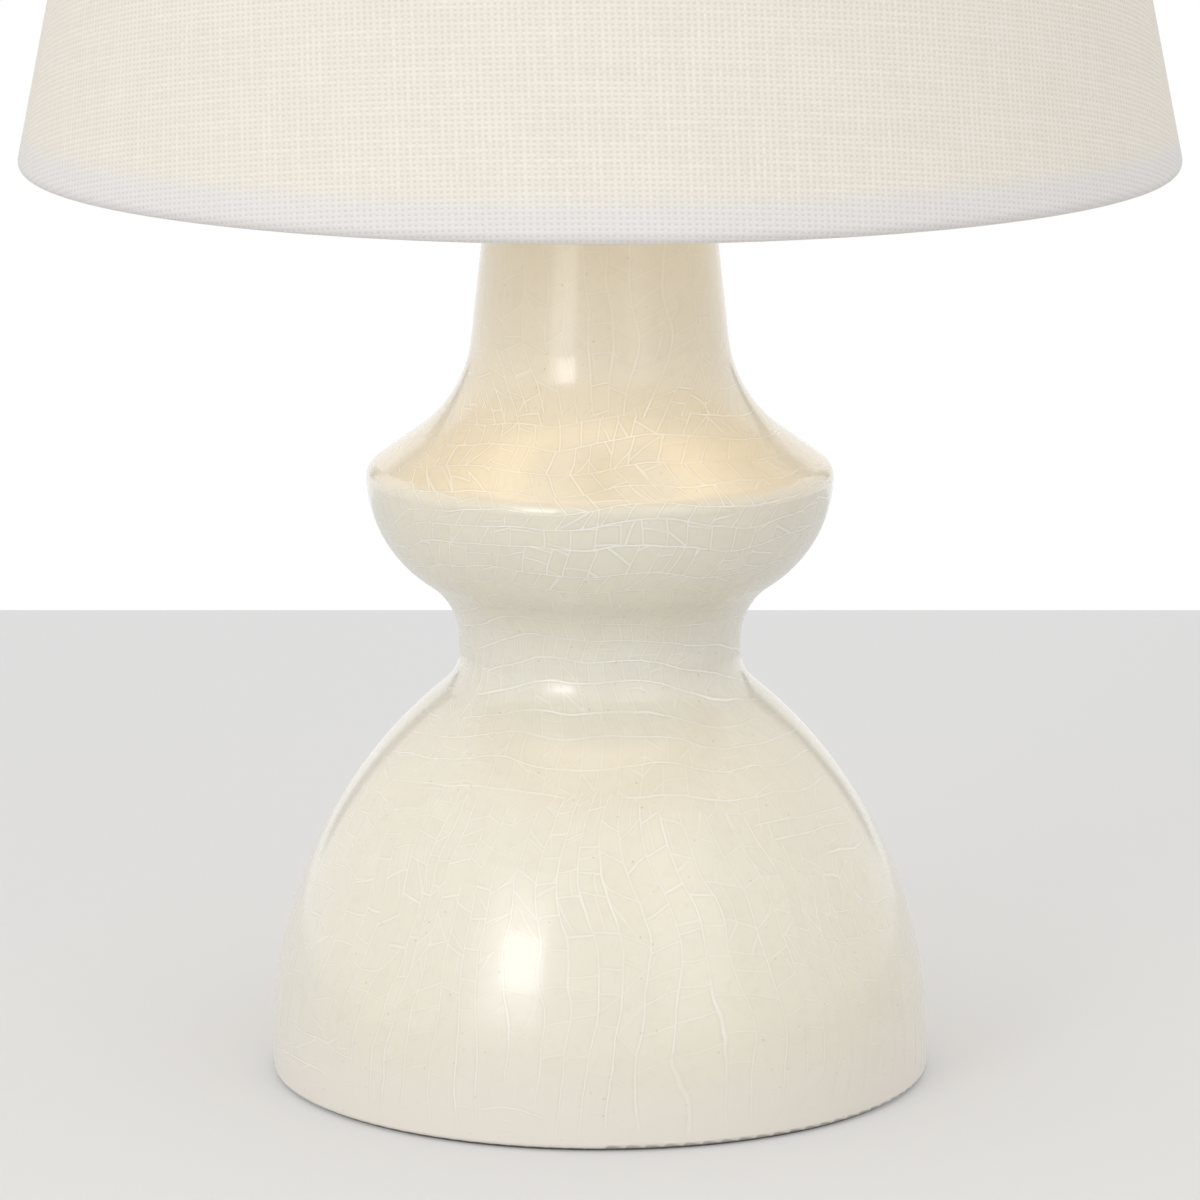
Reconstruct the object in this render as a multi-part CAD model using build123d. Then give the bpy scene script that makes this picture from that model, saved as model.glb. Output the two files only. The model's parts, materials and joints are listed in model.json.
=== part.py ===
from build123d import *
import math
import os

os.makedirs("parts", exist_ok=True)

# Cordless table lamp: a turned stoneware body with a battery module in its foot,
# a lamp head on a threaded pipe, and a tapered linen shade held by a harp and a finial.
# Millimetres, +Z up, origin on the table under the middle of the foot, front towards -Y.

# Stoneware body, a turned form of tangent arcs and two straight tapers
BODY_RADIUS = 65.7
FOOT_ROUND = 0.9
FOOT_STRAIGHT = 4.5
DOME_ARC_RADIUS = 93.0
DOME_FILLET = 9.0
WAIST_RADIUS = 28.0
WAIST_LENGTH = 2.2
BOWL_FILLET = 14.5
BOWL_ARC_RADIUS = 25.5
COLLAR_RADIUS = 46.3
COLLAR_RISE = 1.2
COLLAR_EDGE_FILLET = 3.8
SHOULDER_ANGLE = 54.4
NECK_FOOT_RADIUS = 26.7
NECK_FILLET = 26.0
NECK_TAPER = 6.3
NECK_LENGTH = 63.8
BODY_WALL = 5.0
INNER_EDGE_FILLET = 1.0
FOOT_RING_WIDTH = 7.5
FLANGE_THICKNESS = 6.0

# Felt, base plate and the pipe that clamps the body together
FELT_THICKNESS = 0.6
FELT_INSET = 1.6
FELT_GAP = 0.4
PLATE_THICKNESS = 2.0
PLATE_CLEARANCE = 0.5
PIPE_RADIUS = 5.0
PIPE_BORE_RADIUS = 3.5
PIPE_FIT = 0.1
PIPE_PROUD = 0.6
PIPE_SLOT_WIDTH = 5.0
PIPE_SLOT_LENGTH = 24.0
NUT_FLATS = 14.0
NUT_THICKNESS = 4.0
WASHER_RADIUS = 10.0
WASHER_THICKNESS = 1.0

# Battery module
CELL_RADIUS = 9.25
CELL_LENGTH = 65.2
CELL_CLEARANCE = 0.25
PIPE_TO_CELL = 2.5
LINK_THICKNESS = 0.4
LINK_WIDTH = 8.0
TRAY_FLOOR = 2.5
TRAY_WALL = 2.0
TRAY_RIM = 1.0
TRAY_CLEARANCE = 1.2
TRAY_SCREW_RADIUS = 1.5
TRAY_SCREW_EDGE = 5.0
TRAY_SCREW_TIP_COVER = 0.4
TRAY_SCREWS = 4
COVER_THICKNESS = 2.0
BOARD_LENGTH = 56.0
BOARD_WIDTH = 46.0
BOARD_THICKNESS = 1.6
BOARD_STANDOFF = 3.0
BOARD_HOLE_CLEARANCE = 1.5
BOARD_SCREW_RADIUS = 1.0
BOARD_SCREW_EDGE = 4.0
BOSS_WALL = 1.6
SCREW_FIT = 0.05
SCREW_HEAD_RATIO = 1.85
INDUCTOR_WIDTH = 7.0
INDUCTOR_HEIGHT = 4.0
CHIP_WIDTH = 6.0
CHIP_HEIGHT = 1.0
CAPACITOR_RADIUS = 3.0
CAPACITOR_HEIGHT = 7.0
LEAD_SOCKET_LENGTH = 8.0
LEAD_SOCKET_WIDTH = 5.0
LEAD_SOCKET_HEIGHT = 5.0
PORT_SOCKET_OFFSET = 15.0
LEAD_RADIUS = 1.5
LEAD_RISE = 9.0
LEAD_BEND_RADIUS = 9.0
PORT_LEAD_RUN = 6.0
PORT_LEAD_BEND_RADIUS = 5.0

# Charge port in the back of the foot
PORT_RISE = 11.0
PORT_HOLE_RADIUS = 7.0
PORT_FIT = 0.2
BEZEL_RADIUS = 9.0
BEZEL_THICKNESS = 1.2
BEZEL_GAP = 0.1
PORT_NUT_RADIUS = 10.0
PORT_NUT_THICKNESS = 3.0
PORT_NUT_GAP = 0.1
BARREL_TAIL = 1.5
SOCKET_WIDTH = 8.94
SOCKET_HEIGHT = 3.26
SOCKET_WALL = 0.3
SOCKET_RECESS = 0.8
SOCKET_CAVITY_DEPTH = 6.6
SOCKET_FIT = 0.05
TONGUE_WIDTH = 6.7
TONGUE_THICKNESS = 0.7
TONGUE_LENGTH = 4.5
LIGHT_RADIUS = 1.0
LIGHT_RISE = 4.1

# Lamp head
NECK_GASKET_THICKNESS = 1.0
NECK_CAP_THICKNESS = 2.5
NECK_CAP_OVERHANG = 0.6
NECK_CAP_SPIGOT = 5.0
NECK_CAP_FIT = 0.4
CUP_RADIUS = 18.0
CUP_WALL = 1.2
CUP_FLARE = 7.0
CUP_NUT_ROOM = 1.7
CUP_HEADROOM = 5.0
POT_RADIUS = 7.0
POT_DEPTH = 7.0
POT_CLEARANCE = 0.3
POT_RISE = 2.0
BUSH_RADIUS = 4.5
BUSH_FIT = 0.15
BUSH_PROUD = 4.0
DIMMER_NUT_FLATS = 12.0
DIMMER_NUT_THICKNESS = 2.0
DIMMER_NUT_GAP = 0.05
SHAFT_RADIUS = 3.0
SHAFT_FIT = 0.05
SHAFT_DEPTH = 5.0
KNOB_RADIUS = 8.0
KNOB_LENGTH = 12.0
KNOB_GAP = 0.6
KNOB_BORE_DEPTH = 9.0
KNOB_FLUTES = 14
KNOB_FLUTE_RADIUS = 0.9
KNOB_EDGE = 1.2
SINK_HEIGHT = 8.0
SINK_SPIGOT = 3.0
SINK_FIT = 0.2
SINK_BOSS_HEIGHT = 3.0
SINK_FINS = 18
SINK_SLOT_WIDTH = 1.6
SINK_SLOT_DEPTH = 2.0
SINK_SLOT_LAND = 1.5
LEAD_HOLE_CLEARANCE = 1.0
LED_BOARD_MARGIN = 1.5
LED_BOARD_THICKNESS = 1.6
LED_COUNT = 8
LED_CIRCLE_RADIUS = 10.0
LED_WIDTH = 2.8
LED_HEIGHT = 0.7
LED_SCREW_RADIUS = 1.1
LED_SCREW_CIRCLE = 6.0
LED_SCREW_LENGTH = 5.0
LED_SCREWS = 2
DIFFUSER_RADIUS = 23.0
DIFFUSER_SKIRT_RADIUS = 17.0
DIFFUSER_SKIRT_HEIGHT = 5.0
DIFFUSER_WALL = 1.6
DIFFUSER_FIT = 0.2

# Harp and its saddle
SADDLE_THICKNESS = 1.6
SADDLE_WIDTH = 12.0
HARP_WIRE_RADIUS = 1.6
POST_HEIGHT = 8.0
SLEEVE_RADIUS = 3.2
SLEEVE_LENGTH = 16.0
SLEEVE_FIT = 0.1
SLEEVE_TRAVEL = 12.0
SLEEVE_CLEARANCE = 1.8
HARP_TO_DIFFUSER = 14.0
HARP_HEADROOM = 46.5
HARP_LEG_BEND_RADIUS = 18.0
HARP_BOW_BEND_RADIUS = 60.0
HARP_TOP_BEND_RADIUS = 24.0
HARP_TOP_DRAW_IN = 6.0
HUB_RADIUS = 5.0
HUB_COVER = 2.4
STUD_SHOULDER_RADIUS = 8.0
STUD_SHOULDER_THICKNESS = 2.0
STUD_RADIUS = 3.175
STUD_LENGTH = 13.0

# Shade and finial
SHADE_BOTTOM_RADIUS = 114.3
SHADE_TOP_RADIUS = 81.0
SHADE_HEIGHT = 165.0
FABRIC_THICKNESS = 0.8
LINER_THICKNESS = 0.5
HEM_HEIGHT = 8.0
RING_WIRE_RADIUS = 1.4
RING_FIT = 0.05
SPIDER_ARMS = 3
SPIDER_DROP = 13.0
SPIDER_ARM_LEVEL = 24.0
SPIDER_ARM_BEND_RADIUS = 10.0
SPIDER_ARM_NOTCH = 0.2
WASHER_DISC_RADIUS = 12.0
WASHER_DISC_THICKNESS = 1.6
WASHER_DISC_FIT = 0.3
FINIAL_FOOT_RADIUS = 6.0
FINIAL_FOOT_HEIGHT = 2.5
FINIAL_NECK_RADIUS = 4.6
FINIAL_NECK_HEIGHT = 6.0
FINIAL_BALL_RADIUS = 8.0
FINIAL_THREAD_FIT = 0.05
FINIAL_THREAD_RELIEF = 1.0


def leaning(angle):
    """Direction up and inwards, and the outward normal, of a side that leans in by an angle."""
    lean = math.radians(angle)
    return Vector(-math.sin(lean), math.cos(lean)), Vector(math.cos(lean), math.sin(lean))


# Heights of the foot and its clamp
FOOT_BOTTOM = FELT_THICKNESS
PIPE_BOTTOM = FOOT_BOTTOM + FELT_GAP
BASE_NUT_BOTTOM = PIPE_BOTTOM + PIPE_PROUD
BASE_WASHER_BOTTOM = BASE_NUT_BOTTOM + NUT_THICKNESS
PLATE_BOTTOM = BASE_WASHER_BOTTOM + WASHER_THICKNESS
PLATE_TOP = PLATE_BOTTOM + PLATE_THICKNESS
FLANGE_TOP = PLATE_TOP + FLANGE_THICKNESS
FOOT_RECESS_RADIUS = BODY_RADIUS - FOOT_RING_WIDTH
PIPE_HOLE_RADIUS = PIPE_RADIUS + PIPE_FIT

# Centres and corners of the body's half section, as radius and height
DOME_CENTRE = Vector(BODY_RADIUS - DOME_ARC_RADIUS, FOOT_BOTTOM + FOOT_ROUND + FOOT_STRAIGHT)
LOWER_WAIST_RADIUS = WAIST_RADIUS + DOME_FILLET
LOWER_WAIST_RISE = math.sqrt(
    (DOME_ARC_RADIUS + DOME_FILLET) ** 2 - (LOWER_WAIST_RADIUS - DOME_CENTRE.X) ** 2
)
LOWER_WAIST_CENTRE = Vector(LOWER_WAIST_RADIUS, DOME_CENTRE.Y + LOWER_WAIST_RISE)
UPPER_WAIST_CENTRE = Vector(WAIST_RADIUS + BOWL_FILLET, LOWER_WAIST_CENTRE.Y + WAIST_LENGTH)
BOWL_CENTRE_RADIUS = COLLAR_RADIUS - BOWL_ARC_RADIUS
BOWL_RISE = math.sqrt(
    (BOWL_ARC_RADIUS + BOWL_FILLET) ** 2 - (UPPER_WAIST_CENTRE.X - BOWL_CENTRE_RADIUS) ** 2
)
BOWL_CENTRE = Vector(BOWL_CENTRE_RADIUS, UPPER_WAIST_CENTRE.Y + BOWL_RISE)
SHOULDER_START = Vector(COLLAR_RADIUS, BOWL_CENTRE.Y + COLLAR_RISE)
SHOULDER_WAY, SHOULDER_NORMAL = leaning(SHOULDER_ANGLE)
NECK_NORMAL = leaning(NECK_TAPER)[1]
SHOULDER_RISE = (COLLAR_RADIUS - NECK_FOOT_RADIUS) / math.tan(math.radians(SHOULDER_ANGLE))
NECK_CORNER = Vector(NECK_FOOT_RADIUS, SHOULDER_START.Y + SHOULDER_RISE)
NECK_ARC_CENTRE = NECK_CORNER + (SHOULDER_NORMAL + NECK_NORMAL) * (
    NECK_FILLET / (1 + SHOULDER_NORMAL.dot(NECK_NORMAL))
)
NECK_TOP = NECK_CORNER.Y + NECK_LENGTH

# Places in the battery module
CELL_OFFSET = PIPE_RADIUS + PIPE_TO_CELL + CELL_RADIUS
TROUGH_RADIUS = CELL_RADIUS + CELL_CLEARANCE
TRAY_HALF_LENGTH = CELL_LENGTH / 2 + LINK_THICKNESS + CELL_CLEARANCE + TRAY_WALL
TRAY_HALF_WIDTH = CELL_OFFSET + TROUGH_RADIUS + TRAY_WALL
TRAY_RADIUS = math.hypot(TRAY_HALF_LENGTH, TRAY_HALF_WIDTH) + TRAY_RIM
FLANGE_HOLE_RADIUS = TRAY_RADIUS + TRAY_CLEARANCE
TRAY_FLOOR_TOP = PLATE_TOP + TRAY_FLOOR
CELL_AXIS = TRAY_FLOOR_TOP + TROUGH_RADIUS
COVER_BOTTOM = CELL_AXIS + TROUGH_RADIUS
COVER_TOP = COVER_BOTTOM + COVER_THICKNESS
BOARD_BOTTOM = COVER_TOP + BOARD_STANDOFF
BOARD_TOP = BOARD_BOTTOM + BOARD_THICKNESS
BOARD_SCREW_PLACES = GridLocations(
    BOARD_LENGTH - 2 * BOARD_SCREW_EDGE, BOARD_WIDTH - 2 * BOARD_SCREW_EDGE, 2, 2
)
TRAY_SCREW_PLACES = PolarLocations(TRAY_RADIUS - TRAY_SCREW_EDGE, TRAY_SCREWS)
LEAD_SOCKET_BACK = BOARD_WIDTH / 2
LEAD_SOCKET_MIDDLE = LEAD_SOCKET_BACK - LEAD_SOCKET_WIDTH / 2
LEAD_SOCKET_TOP = BOARD_TOP + LEAD_SOCKET_HEIGHT
LEAD_TURN_IN = LEAD_SOCKET_TOP + LEAD_RISE
LEAD_ON_AXIS = LEAD_TURN_IN + LEAD_SOCKET_MIDDLE


def dome_radius(height, inset=0):
    """Radius of the dome at a height, on the outside or a given depth inside it."""
    return DOME_CENTRE.X + math.sqrt((DOME_ARC_RADIUS - inset) ** 2 - (height - DOME_CENTRE.Y) ** 2)


def neck_radius(inset=0):
    """Radius of the neck at its top, on the outside or a given depth inside it."""
    lean = math.radians(NECK_TAPER)
    return NECK_FOOT_RADIUS - NECK_LENGTH * math.tan(lean) - inset / math.cos(lean)


# Places in the charge port
PORT_HEIGHT = FLANGE_TOP + PORT_RISE
PORT_FACE = dome_radius(PORT_HEIGHT) + BEZEL_GAP + BEZEL_THICKNESS
BARREL_RADIUS = PORT_HOLE_RADIUS - PORT_FIT
PORT_NUT_FRONT = dome_radius(PORT_HEIGHT + PORT_NUT_RADIUS, BODY_WALL) - PORT_NUT_GAP
PORT_NUT_BACK = PORT_NUT_FRONT - PORT_NUT_THICKNESS
PORT_BACK = PORT_NUT_BACK - BARREL_TAIL
LIGHT_HEIGHT = PORT_HEIGHT + LIGHT_RISE

# Heights of the lamp head, stacked on the neck
NECK_GASKET_TOP = NECK_TOP + NECK_GASKET_THICKNESS
NECK_CAP_TOP = NECK_GASKET_TOP + NECK_CAP_THICKNESS
NECK_SPIGOT_RADIUS = neck_radius(BODY_WALL) - NECK_CAP_FIT
NECK_NUT_TOP = NECK_CAP_TOP + NUT_THICKNESS
SADDLE_TOP = NECK_NUT_TOP + SADDLE_THICKNESS
CUP_FLOOR_TOP = SADDLE_TOP + CUP_WALL
HEAD_NUT_TOP = CUP_FLOOR_TOP + NUT_THICKNESS
PIPE_TOP = HEAD_NUT_TOP + PIPE_PROUD
DIMMER_HEIGHT = PIPE_TOP + POT_RISE + POT_RADIUS
CUP_TOP = DIMMER_HEIGHT + POT_RADIUS + CUP_HEADROOM
SINK_TOP = CUP_TOP + SINK_HEIGHT
SINK_BOSS_TOP = SINK_TOP + SINK_BOSS_HEIGHT
LED_BOARD_TOP = SINK_BOSS_TOP + LED_BOARD_THICKNESS
CUP_BORE_RADIUS = CUP_RADIUS - CUP_WALL
CUP_NECK_RADIUS = NUT_FLATS / math.sqrt(3) + CUP_NUT_ROOM + CUP_WALL
LEAD_HOLE_RADIUS = LEAD_RADIUS + LEAD_HOLE_CLEARANCE
SINK_BOSS_RADIUS = DIFFUSER_SKIRT_RADIUS - DIFFUSER_WALL - DIFFUSER_FIT
LED_SCREW_PLACES = PolarLocations(LED_SCREW_CIRCLE, LED_SCREWS, start_angle=180 / LED_COUNT)
DIFFUSER_CENTRE = SINK_TOP + DIFFUSER_SKIRT_HEIGHT + math.sqrt(
    DIFFUSER_RADIUS**2 - DIFFUSER_SKIRT_RADIUS**2
)
DIFFUSER_TOP = DIFFUSER_CENTRE + DIFFUSER_RADIUS

# Places along the dimmer's axis, from the lamp's axis towards the front
POT_FRONT = -math.sqrt(CUP_BORE_RADIUS**2 - POT_RADIUS**2) + POT_CLEARANCE
BUSH_FRONT = -CUP_RADIUS - BUSH_PROUD
KNOB_BACK = BUSH_FRONT - KNOB_GAP
KNOB_FRONT = KNOB_BACK - KNOB_LENGTH

# Places in the harp, the shade and the finial
POST_REACH = max(CUP_RADIUS, DIFFUSER_RADIUS) + SLEEVE_CLEARANCE + SLEEVE_RADIUS
POST_TOP = SADDLE_TOP + POST_HEIGHT
SLEEVE_TOP = SADDLE_TOP + SLEEVE_LENGTH
SHADE_SEAT = DIFFUSER_TOP + HARP_HEADROOM
HUB_TOP = SHADE_SEAT - STUD_SHOULDER_THICKNESS
HARP_TOP_AXIS = HUB_TOP - HUB_COVER - HARP_WIRE_RADIUS
HUB_BOTTOM = HARP_TOP_AXIS - HARP_WIRE_RADIUS - HUB_COVER
HARP_BOW = DIFFUSER_RADIUS + HARP_TO_DIFFUSER
SHADE_TOP = SHADE_SEAT + SPIDER_DROP
SHADE_BOTTOM = SHADE_TOP - SHADE_HEIGHT
SHADE_LEAN = math.degrees(math.atan2(SHADE_BOTTOM_RADIUS - SHADE_TOP_RADIUS, SHADE_HEIGHT))
SHADE_WAY, SHADE_NORMAL = leaning(SHADE_LEAN)
ROLL_RADIUS = RING_WIRE_RADIUS + FABRIC_THICKNESS
FINIAL_BOTTOM = SHADE_SEAT + WASHER_DISC_THICKNESS


def shade_point(along, depth):
    """Point of the shade's half section: along the slant from its lower edge, and in from its face."""
    return Vector(SHADE_BOTTOM_RADIUS, SHADE_BOTTOM) + SHADE_WAY * along - SHADE_NORMAL * depth


# Slant places where the edge rolls keep the shade's height, and the middles of the two ring wires
LOWER_ROLL = ROLL_RADIUS * (1 + SHADE_NORMAL.Y) / SHADE_NORMAL.X
UPPER_ROLL = (SHADE_HEIGHT - ROLL_RADIUS * (1 - SHADE_NORMAL.Y)) / SHADE_NORMAL.X
LOWER_RING = shade_point(LOWER_ROLL, ROLL_RADIUS)
UPPER_RING = shade_point(UPPER_ROLL, ROLL_RADIUS)


def turned(*edges):
    """Solid of revolution about the lamp's axis from a closed half section of radius and height."""
    return revolve(Plane.XZ * make_face(edges), Axis.Z)


def arc_about(centre, start, end):
    """Shorter arc from start to end about a centre."""
    middle = ((start + end) * 0.5 - centre).normalized() * (start - centre).length
    return ThreePointArc(start, centre + middle, end)


def tube(outer, inner, bottom, top):
    """Upright ring about the lamp's axis."""
    return Pos(0, 0, bottom) * extrude(Circle(outer) - Circle(inner), top - bottom)


def post(radius, bottom, top):
    """Upright round bar on the lamp's axis."""
    return Pos(0, 0, bottom) * extrude(Circle(radius), top - bottom)


def bar_to_back(outline, start, end, height):
    """Bar of an outline along +Y from start to end, at a height on the lamp's middle plane."""
    return extrude(Plane((0, start, height), x_dir=(1, 0, 0), z_dir=(0, 1, 0)) * outline, end - start)


def hex_nut(bottom):
    """Hexagon nut on the lamp pipe."""
    outline = RegularPolygon(NUT_FLATS / 2, 6, major_radius=False) - Circle(PIPE_HOLE_RADIUS)
    return Pos(0, 0, bottom) * extrude(outline, NUT_THICKNESS)


def block(length, width, bottom, top):
    """Upright box about the lamp's axis."""
    return Pos(0, 0, bottom) * extrude(Rectangle(length, width), top - bottom)


def screw(radius, length):
    """Round-head screw, head up from the origin and shank down."""
    head_radius = radius * SCREW_HEAD_RATIO
    return post(head_radius, 0, radius) + post(radius, -length, 0)


def bent_wire(points, bend_radii, radius):
    """Round wire along straight runs joined by tangent arcs."""
    path = FilletPolyline(*points, radius=bend_radii)
    return sweep((path ^ 0) * Circle(radius), path=path)


def group(places, shape):
    """Copies of a shape at each place, as separate solids of one node."""
    return Part() + [place * shape for place in places]


def body_curve(start_height, inset):
    """Edges of the body's side from a height on the dome up to the neck's top, moved in by inset."""
    dome_start = Vector(dome_radius(start_height, inset), start_height)
    to_waist = (LOWER_WAIST_CENTRE - DOME_CENTRE).normalized()
    dome_end = DOME_CENTRE + to_waist * (DOME_ARC_RADIUS - inset)
    waist_low = Vector(WAIST_RADIUS - inset, LOWER_WAIST_CENTRE.Y)
    waist_high = Vector(WAIST_RADIUS - inset, UPPER_WAIST_CENTRE.Y)
    bowl_reach = BOWL_ARC_RADIUS - inset
    bowl_start = BOWL_CENTRE + (UPPER_WAIST_CENTRE - BOWL_CENTRE).normalized() * bowl_reach

    # The collar's rounded edge touches the bowl's arc from inside and the shoulder's straight taper
    edge_depth = max(COLLAR_EDGE_FILLET, inset + INNER_EDGE_FILLET)
    line_start = SHOULDER_START - SHOULDER_NORMAL * edge_depth
    back = (line_start - BOWL_CENTRE).dot(SHOULDER_WAY)
    reach = (line_start - BOWL_CENTRE).length ** 2 - (BOWL_ARC_RADIUS - edge_depth) ** 2
    edge_centre = line_start + SHOULDER_WAY * (-back - math.sqrt(back**2 - reach))
    edge_start = BOWL_CENTRE + (edge_centre - BOWL_CENTRE).normalized() * bowl_reach
    edge_end = edge_centre + SHOULDER_NORMAL * (edge_depth - inset)

    shoulder_end = NECK_ARC_CENTRE - SHOULDER_NORMAL * (NECK_FILLET + inset)
    neck_start = NECK_ARC_CENTRE - NECK_NORMAL * (NECK_FILLET + inset)
    neck_end = Vector(neck_radius(inset), NECK_TOP)
    return [
        arc_about(DOME_CENTRE, dome_start, dome_end),
        arc_about(LOWER_WAIST_CENTRE, dome_end, waist_low),
        Line(waist_low, waist_high),
        arc_about(UPPER_WAIST_CENTRE, waist_high, bowl_start),
        arc_about(BOWL_CENTRE, bowl_start, edge_start),
        arc_about(edge_centre, edge_start, edge_end),
        Line(edge_end, shoulder_end),
        arc_about(NECK_ARC_CENTRE, shoulder_end, neck_start),
        Line(neck_start, neck_end),
    ]


def body_blank(inset):
    """Solid form of the body above the widest line, moved in by inset."""
    side = body_curve(DOME_CENTRE.Y, inset)
    return turned(
        *side,
        Polyline(side[-1] @ 1, (0, NECK_TOP), (0, DOME_CENTRE.Y), side[0] @ 0),
    )


def port_cut(radius):
    """Round bar through the back wall on the charge port's axis."""
    return bar_to_back(Circle(radius), PORT_BACK, PORT_FACE, PORT_HEIGHT)


def ceramic_body():
    """Hollow stoneware body with its foot ring, inner flange and charge port hole."""
    round_start = Vector(BODY_RADIUS - FOOT_ROUND, FOOT_BOTTOM)
    round_end = Vector(BODY_RADIUS, FOOT_BOTTOM + FOOT_ROUND)
    round_centre = Vector(BODY_RADIUS - FOOT_ROUND, FOOT_BOTTOM + FOOT_ROUND)
    outside = body_curve(DOME_CENTRE.Y, 0)
    solid = turned(
        Line((0, FOOT_BOTTOM), round_start),
        arc_about(round_centre, round_start, round_end),
        Line(round_end, outside[0] @ 0),
        *outside,
        Polyline(outside[-1] @ 1, (0, NECK_TOP), (0, FOOT_BOTTOM)),
    )
    inside = body_curve(FLANGE_TOP, BODY_WALL)
    hollow = turned(
        *inside,
        Polyline(inside[-1] @ 1, (0, NECK_TOP), (0, FLANGE_TOP), inside[0] @ 0),
    )
    recess = post(FOOT_RECESS_RADIUS, FOOT_BOTTOM, PLATE_TOP)
    flange_hole = post(FLANGE_HOLE_RADIUS, PLATE_TOP, FLANGE_TOP)
    return solid - hollow - recess - flange_hole - port_cut(PORT_HOLE_RADIUS)


def felt_pad():
    """Felt disc glued under the foot ring."""
    return post(BODY_RADIUS - FELT_INSET, 0, FELT_THICKNESS)


def base_plate():
    """Steel disc drawn up against the body's inner flange, with holes for the pipe and the tray."""
    plate = tube(FOOT_RECESS_RADIUS - PLATE_CLEARANCE, PIPE_HOLE_RADIUS, PLATE_BOTTOM, PLATE_TOP)
    return plate - group(TRAY_SCREW_PLACES, post(TRAY_SCREW_RADIUS + PIPE_FIT, PLATE_BOTTOM, PLATE_TOP))


def base_washer():
    """Washer between the base plate and the lower nut."""
    return tube(WASHER_RADIUS, PIPE_HOLE_RADIUS, BASE_WASHER_BOTTOM, PLATE_BOTTOM)


def lamp_pipe():
    """Threaded pipe from the foot to the lamp head, slotted where the lamp lead comes in."""
    slot_middle = LEAD_ON_AXIS - LEAD_SOCKET_MIDDLE / 2 + LEAD_RADIUS
    slot = SlotOverall(PIPE_SLOT_LENGTH, PIPE_SLOT_WIDTH, rotation=90)
    pipe = tube(PIPE_RADIUS, PIPE_BORE_RADIUS, PIPE_BOTTOM, PIPE_TOP)
    return pipe - bar_to_back(slot, 0, PIPE_RADIUS, slot_middle)


def battery_tray():
    """Moulded tray with two troughs for the cells and an end wall at each end."""
    floor = post(TRAY_RADIUS, PLATE_TOP, TRAY_FLOOR_TOP)
    cradle = block(2 * TRAY_HALF_LENGTH, 2 * TRAY_HALF_WIDTH, TRAY_FLOOR_TOP, CELL_AXIS)
    walls = block(2 * TRAY_HALF_LENGTH, 2 * TRAY_HALF_WIDTH, CELL_AXIS, COVER_BOTTOM)
    inside_length = 2 * (TRAY_HALF_LENGTH - TRAY_WALL)
    walls -= block(inside_length, 2 * TRAY_HALF_WIDTH, CELL_AXIS, COVER_BOTTOM)
    trough = Pos(0, 0, CELL_AXIS) * Rot(0, 90, 0) * Cylinder(TROUGH_RADIUS, inside_length)
    troughs = group([Pos(0, -CELL_OFFSET), Pos(0, CELL_OFFSET)], trough)
    screw_hole = post(TRAY_SCREW_RADIUS + SCREW_FIT, PLATE_TOP, TRAY_FLOOR_TOP - TRAY_SCREW_TIP_COVER)
    pipe_hole = post(PIPE_HOLE_RADIUS, PLATE_TOP, CELL_AXIS)
    return floor + cradle + walls - troughs - pipe_hole - group(TRAY_SCREW_PLACES, screw_hole)


def battery_cells():
    """Two round lithium cells lying on either side of the pipe."""
    cell = Pos(0, 0, CELL_AXIS) * Rot(0, 90, 0) * Cylinder(CELL_RADIUS, CELL_LENGTH)
    return group([Pos(0, -CELL_OFFSET), Pos(0, CELL_OFFSET)], cell)


def cell_links():
    """Nickel strips that join the cells at their ends, above the cradle."""
    strip = block(LINK_THICKNESS, 2 * CELL_OFFSET + LINK_WIDTH, CELL_AXIS, CELL_AXIS + LINK_WIDTH)
    end = CELL_LENGTH / 2 + LINK_THICKNESS / 2
    return group([Pos(-end, 0), Pos(end, 0)], strip)


def battery_cover():
    """Cover on the tray's end walls, with four bosses for the control board."""
    plate = block(2 * TRAY_HALF_LENGTH, 2 * TRAY_HALF_WIDTH, COVER_BOTTOM, COVER_TOP)
    boss = post(BOARD_SCREW_RADIUS + BOSS_WALL, COVER_TOP, BOARD_BOTTOM)
    screw_hole = post(BOARD_SCREW_RADIUS + SCREW_FIT, COVER_BOTTOM, BOARD_BOTTOM)
    pipe_hole = post(PIPE_HOLE_RADIUS, COVER_BOTTOM, COVER_TOP)
    return plate + group(BOARD_SCREW_PLACES, boss) - group(BOARD_SCREW_PLACES, screw_hole) - pipe_hole


def tray_screws():
    """Four screws that hold the tray on the base plate from below."""
    length = PLATE_THICKNESS + TRAY_FLOOR - TRAY_SCREW_TIP_COVER
    upturned = Pos(0, 0, PLATE_BOTTOM) * Rot(180, 0, 0) * screw(TRAY_SCREW_RADIUS, length)
    return group(TRAY_SCREW_PLACES, upturned)


def control_board():
    """Charge and dimming circuit board round the pipe."""
    board = block(BOARD_LENGTH, BOARD_WIDTH, BOARD_BOTTOM, BOARD_TOP)
    board -= post(PIPE_RADIUS + BOARD_HOLE_CLEARANCE, BOARD_BOTTOM, BOARD_TOP)
    return board - group(BOARD_SCREW_PLACES, post(BOARD_SCREW_RADIUS + PIPE_FIT, BOARD_BOTTOM, BOARD_TOP))


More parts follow.
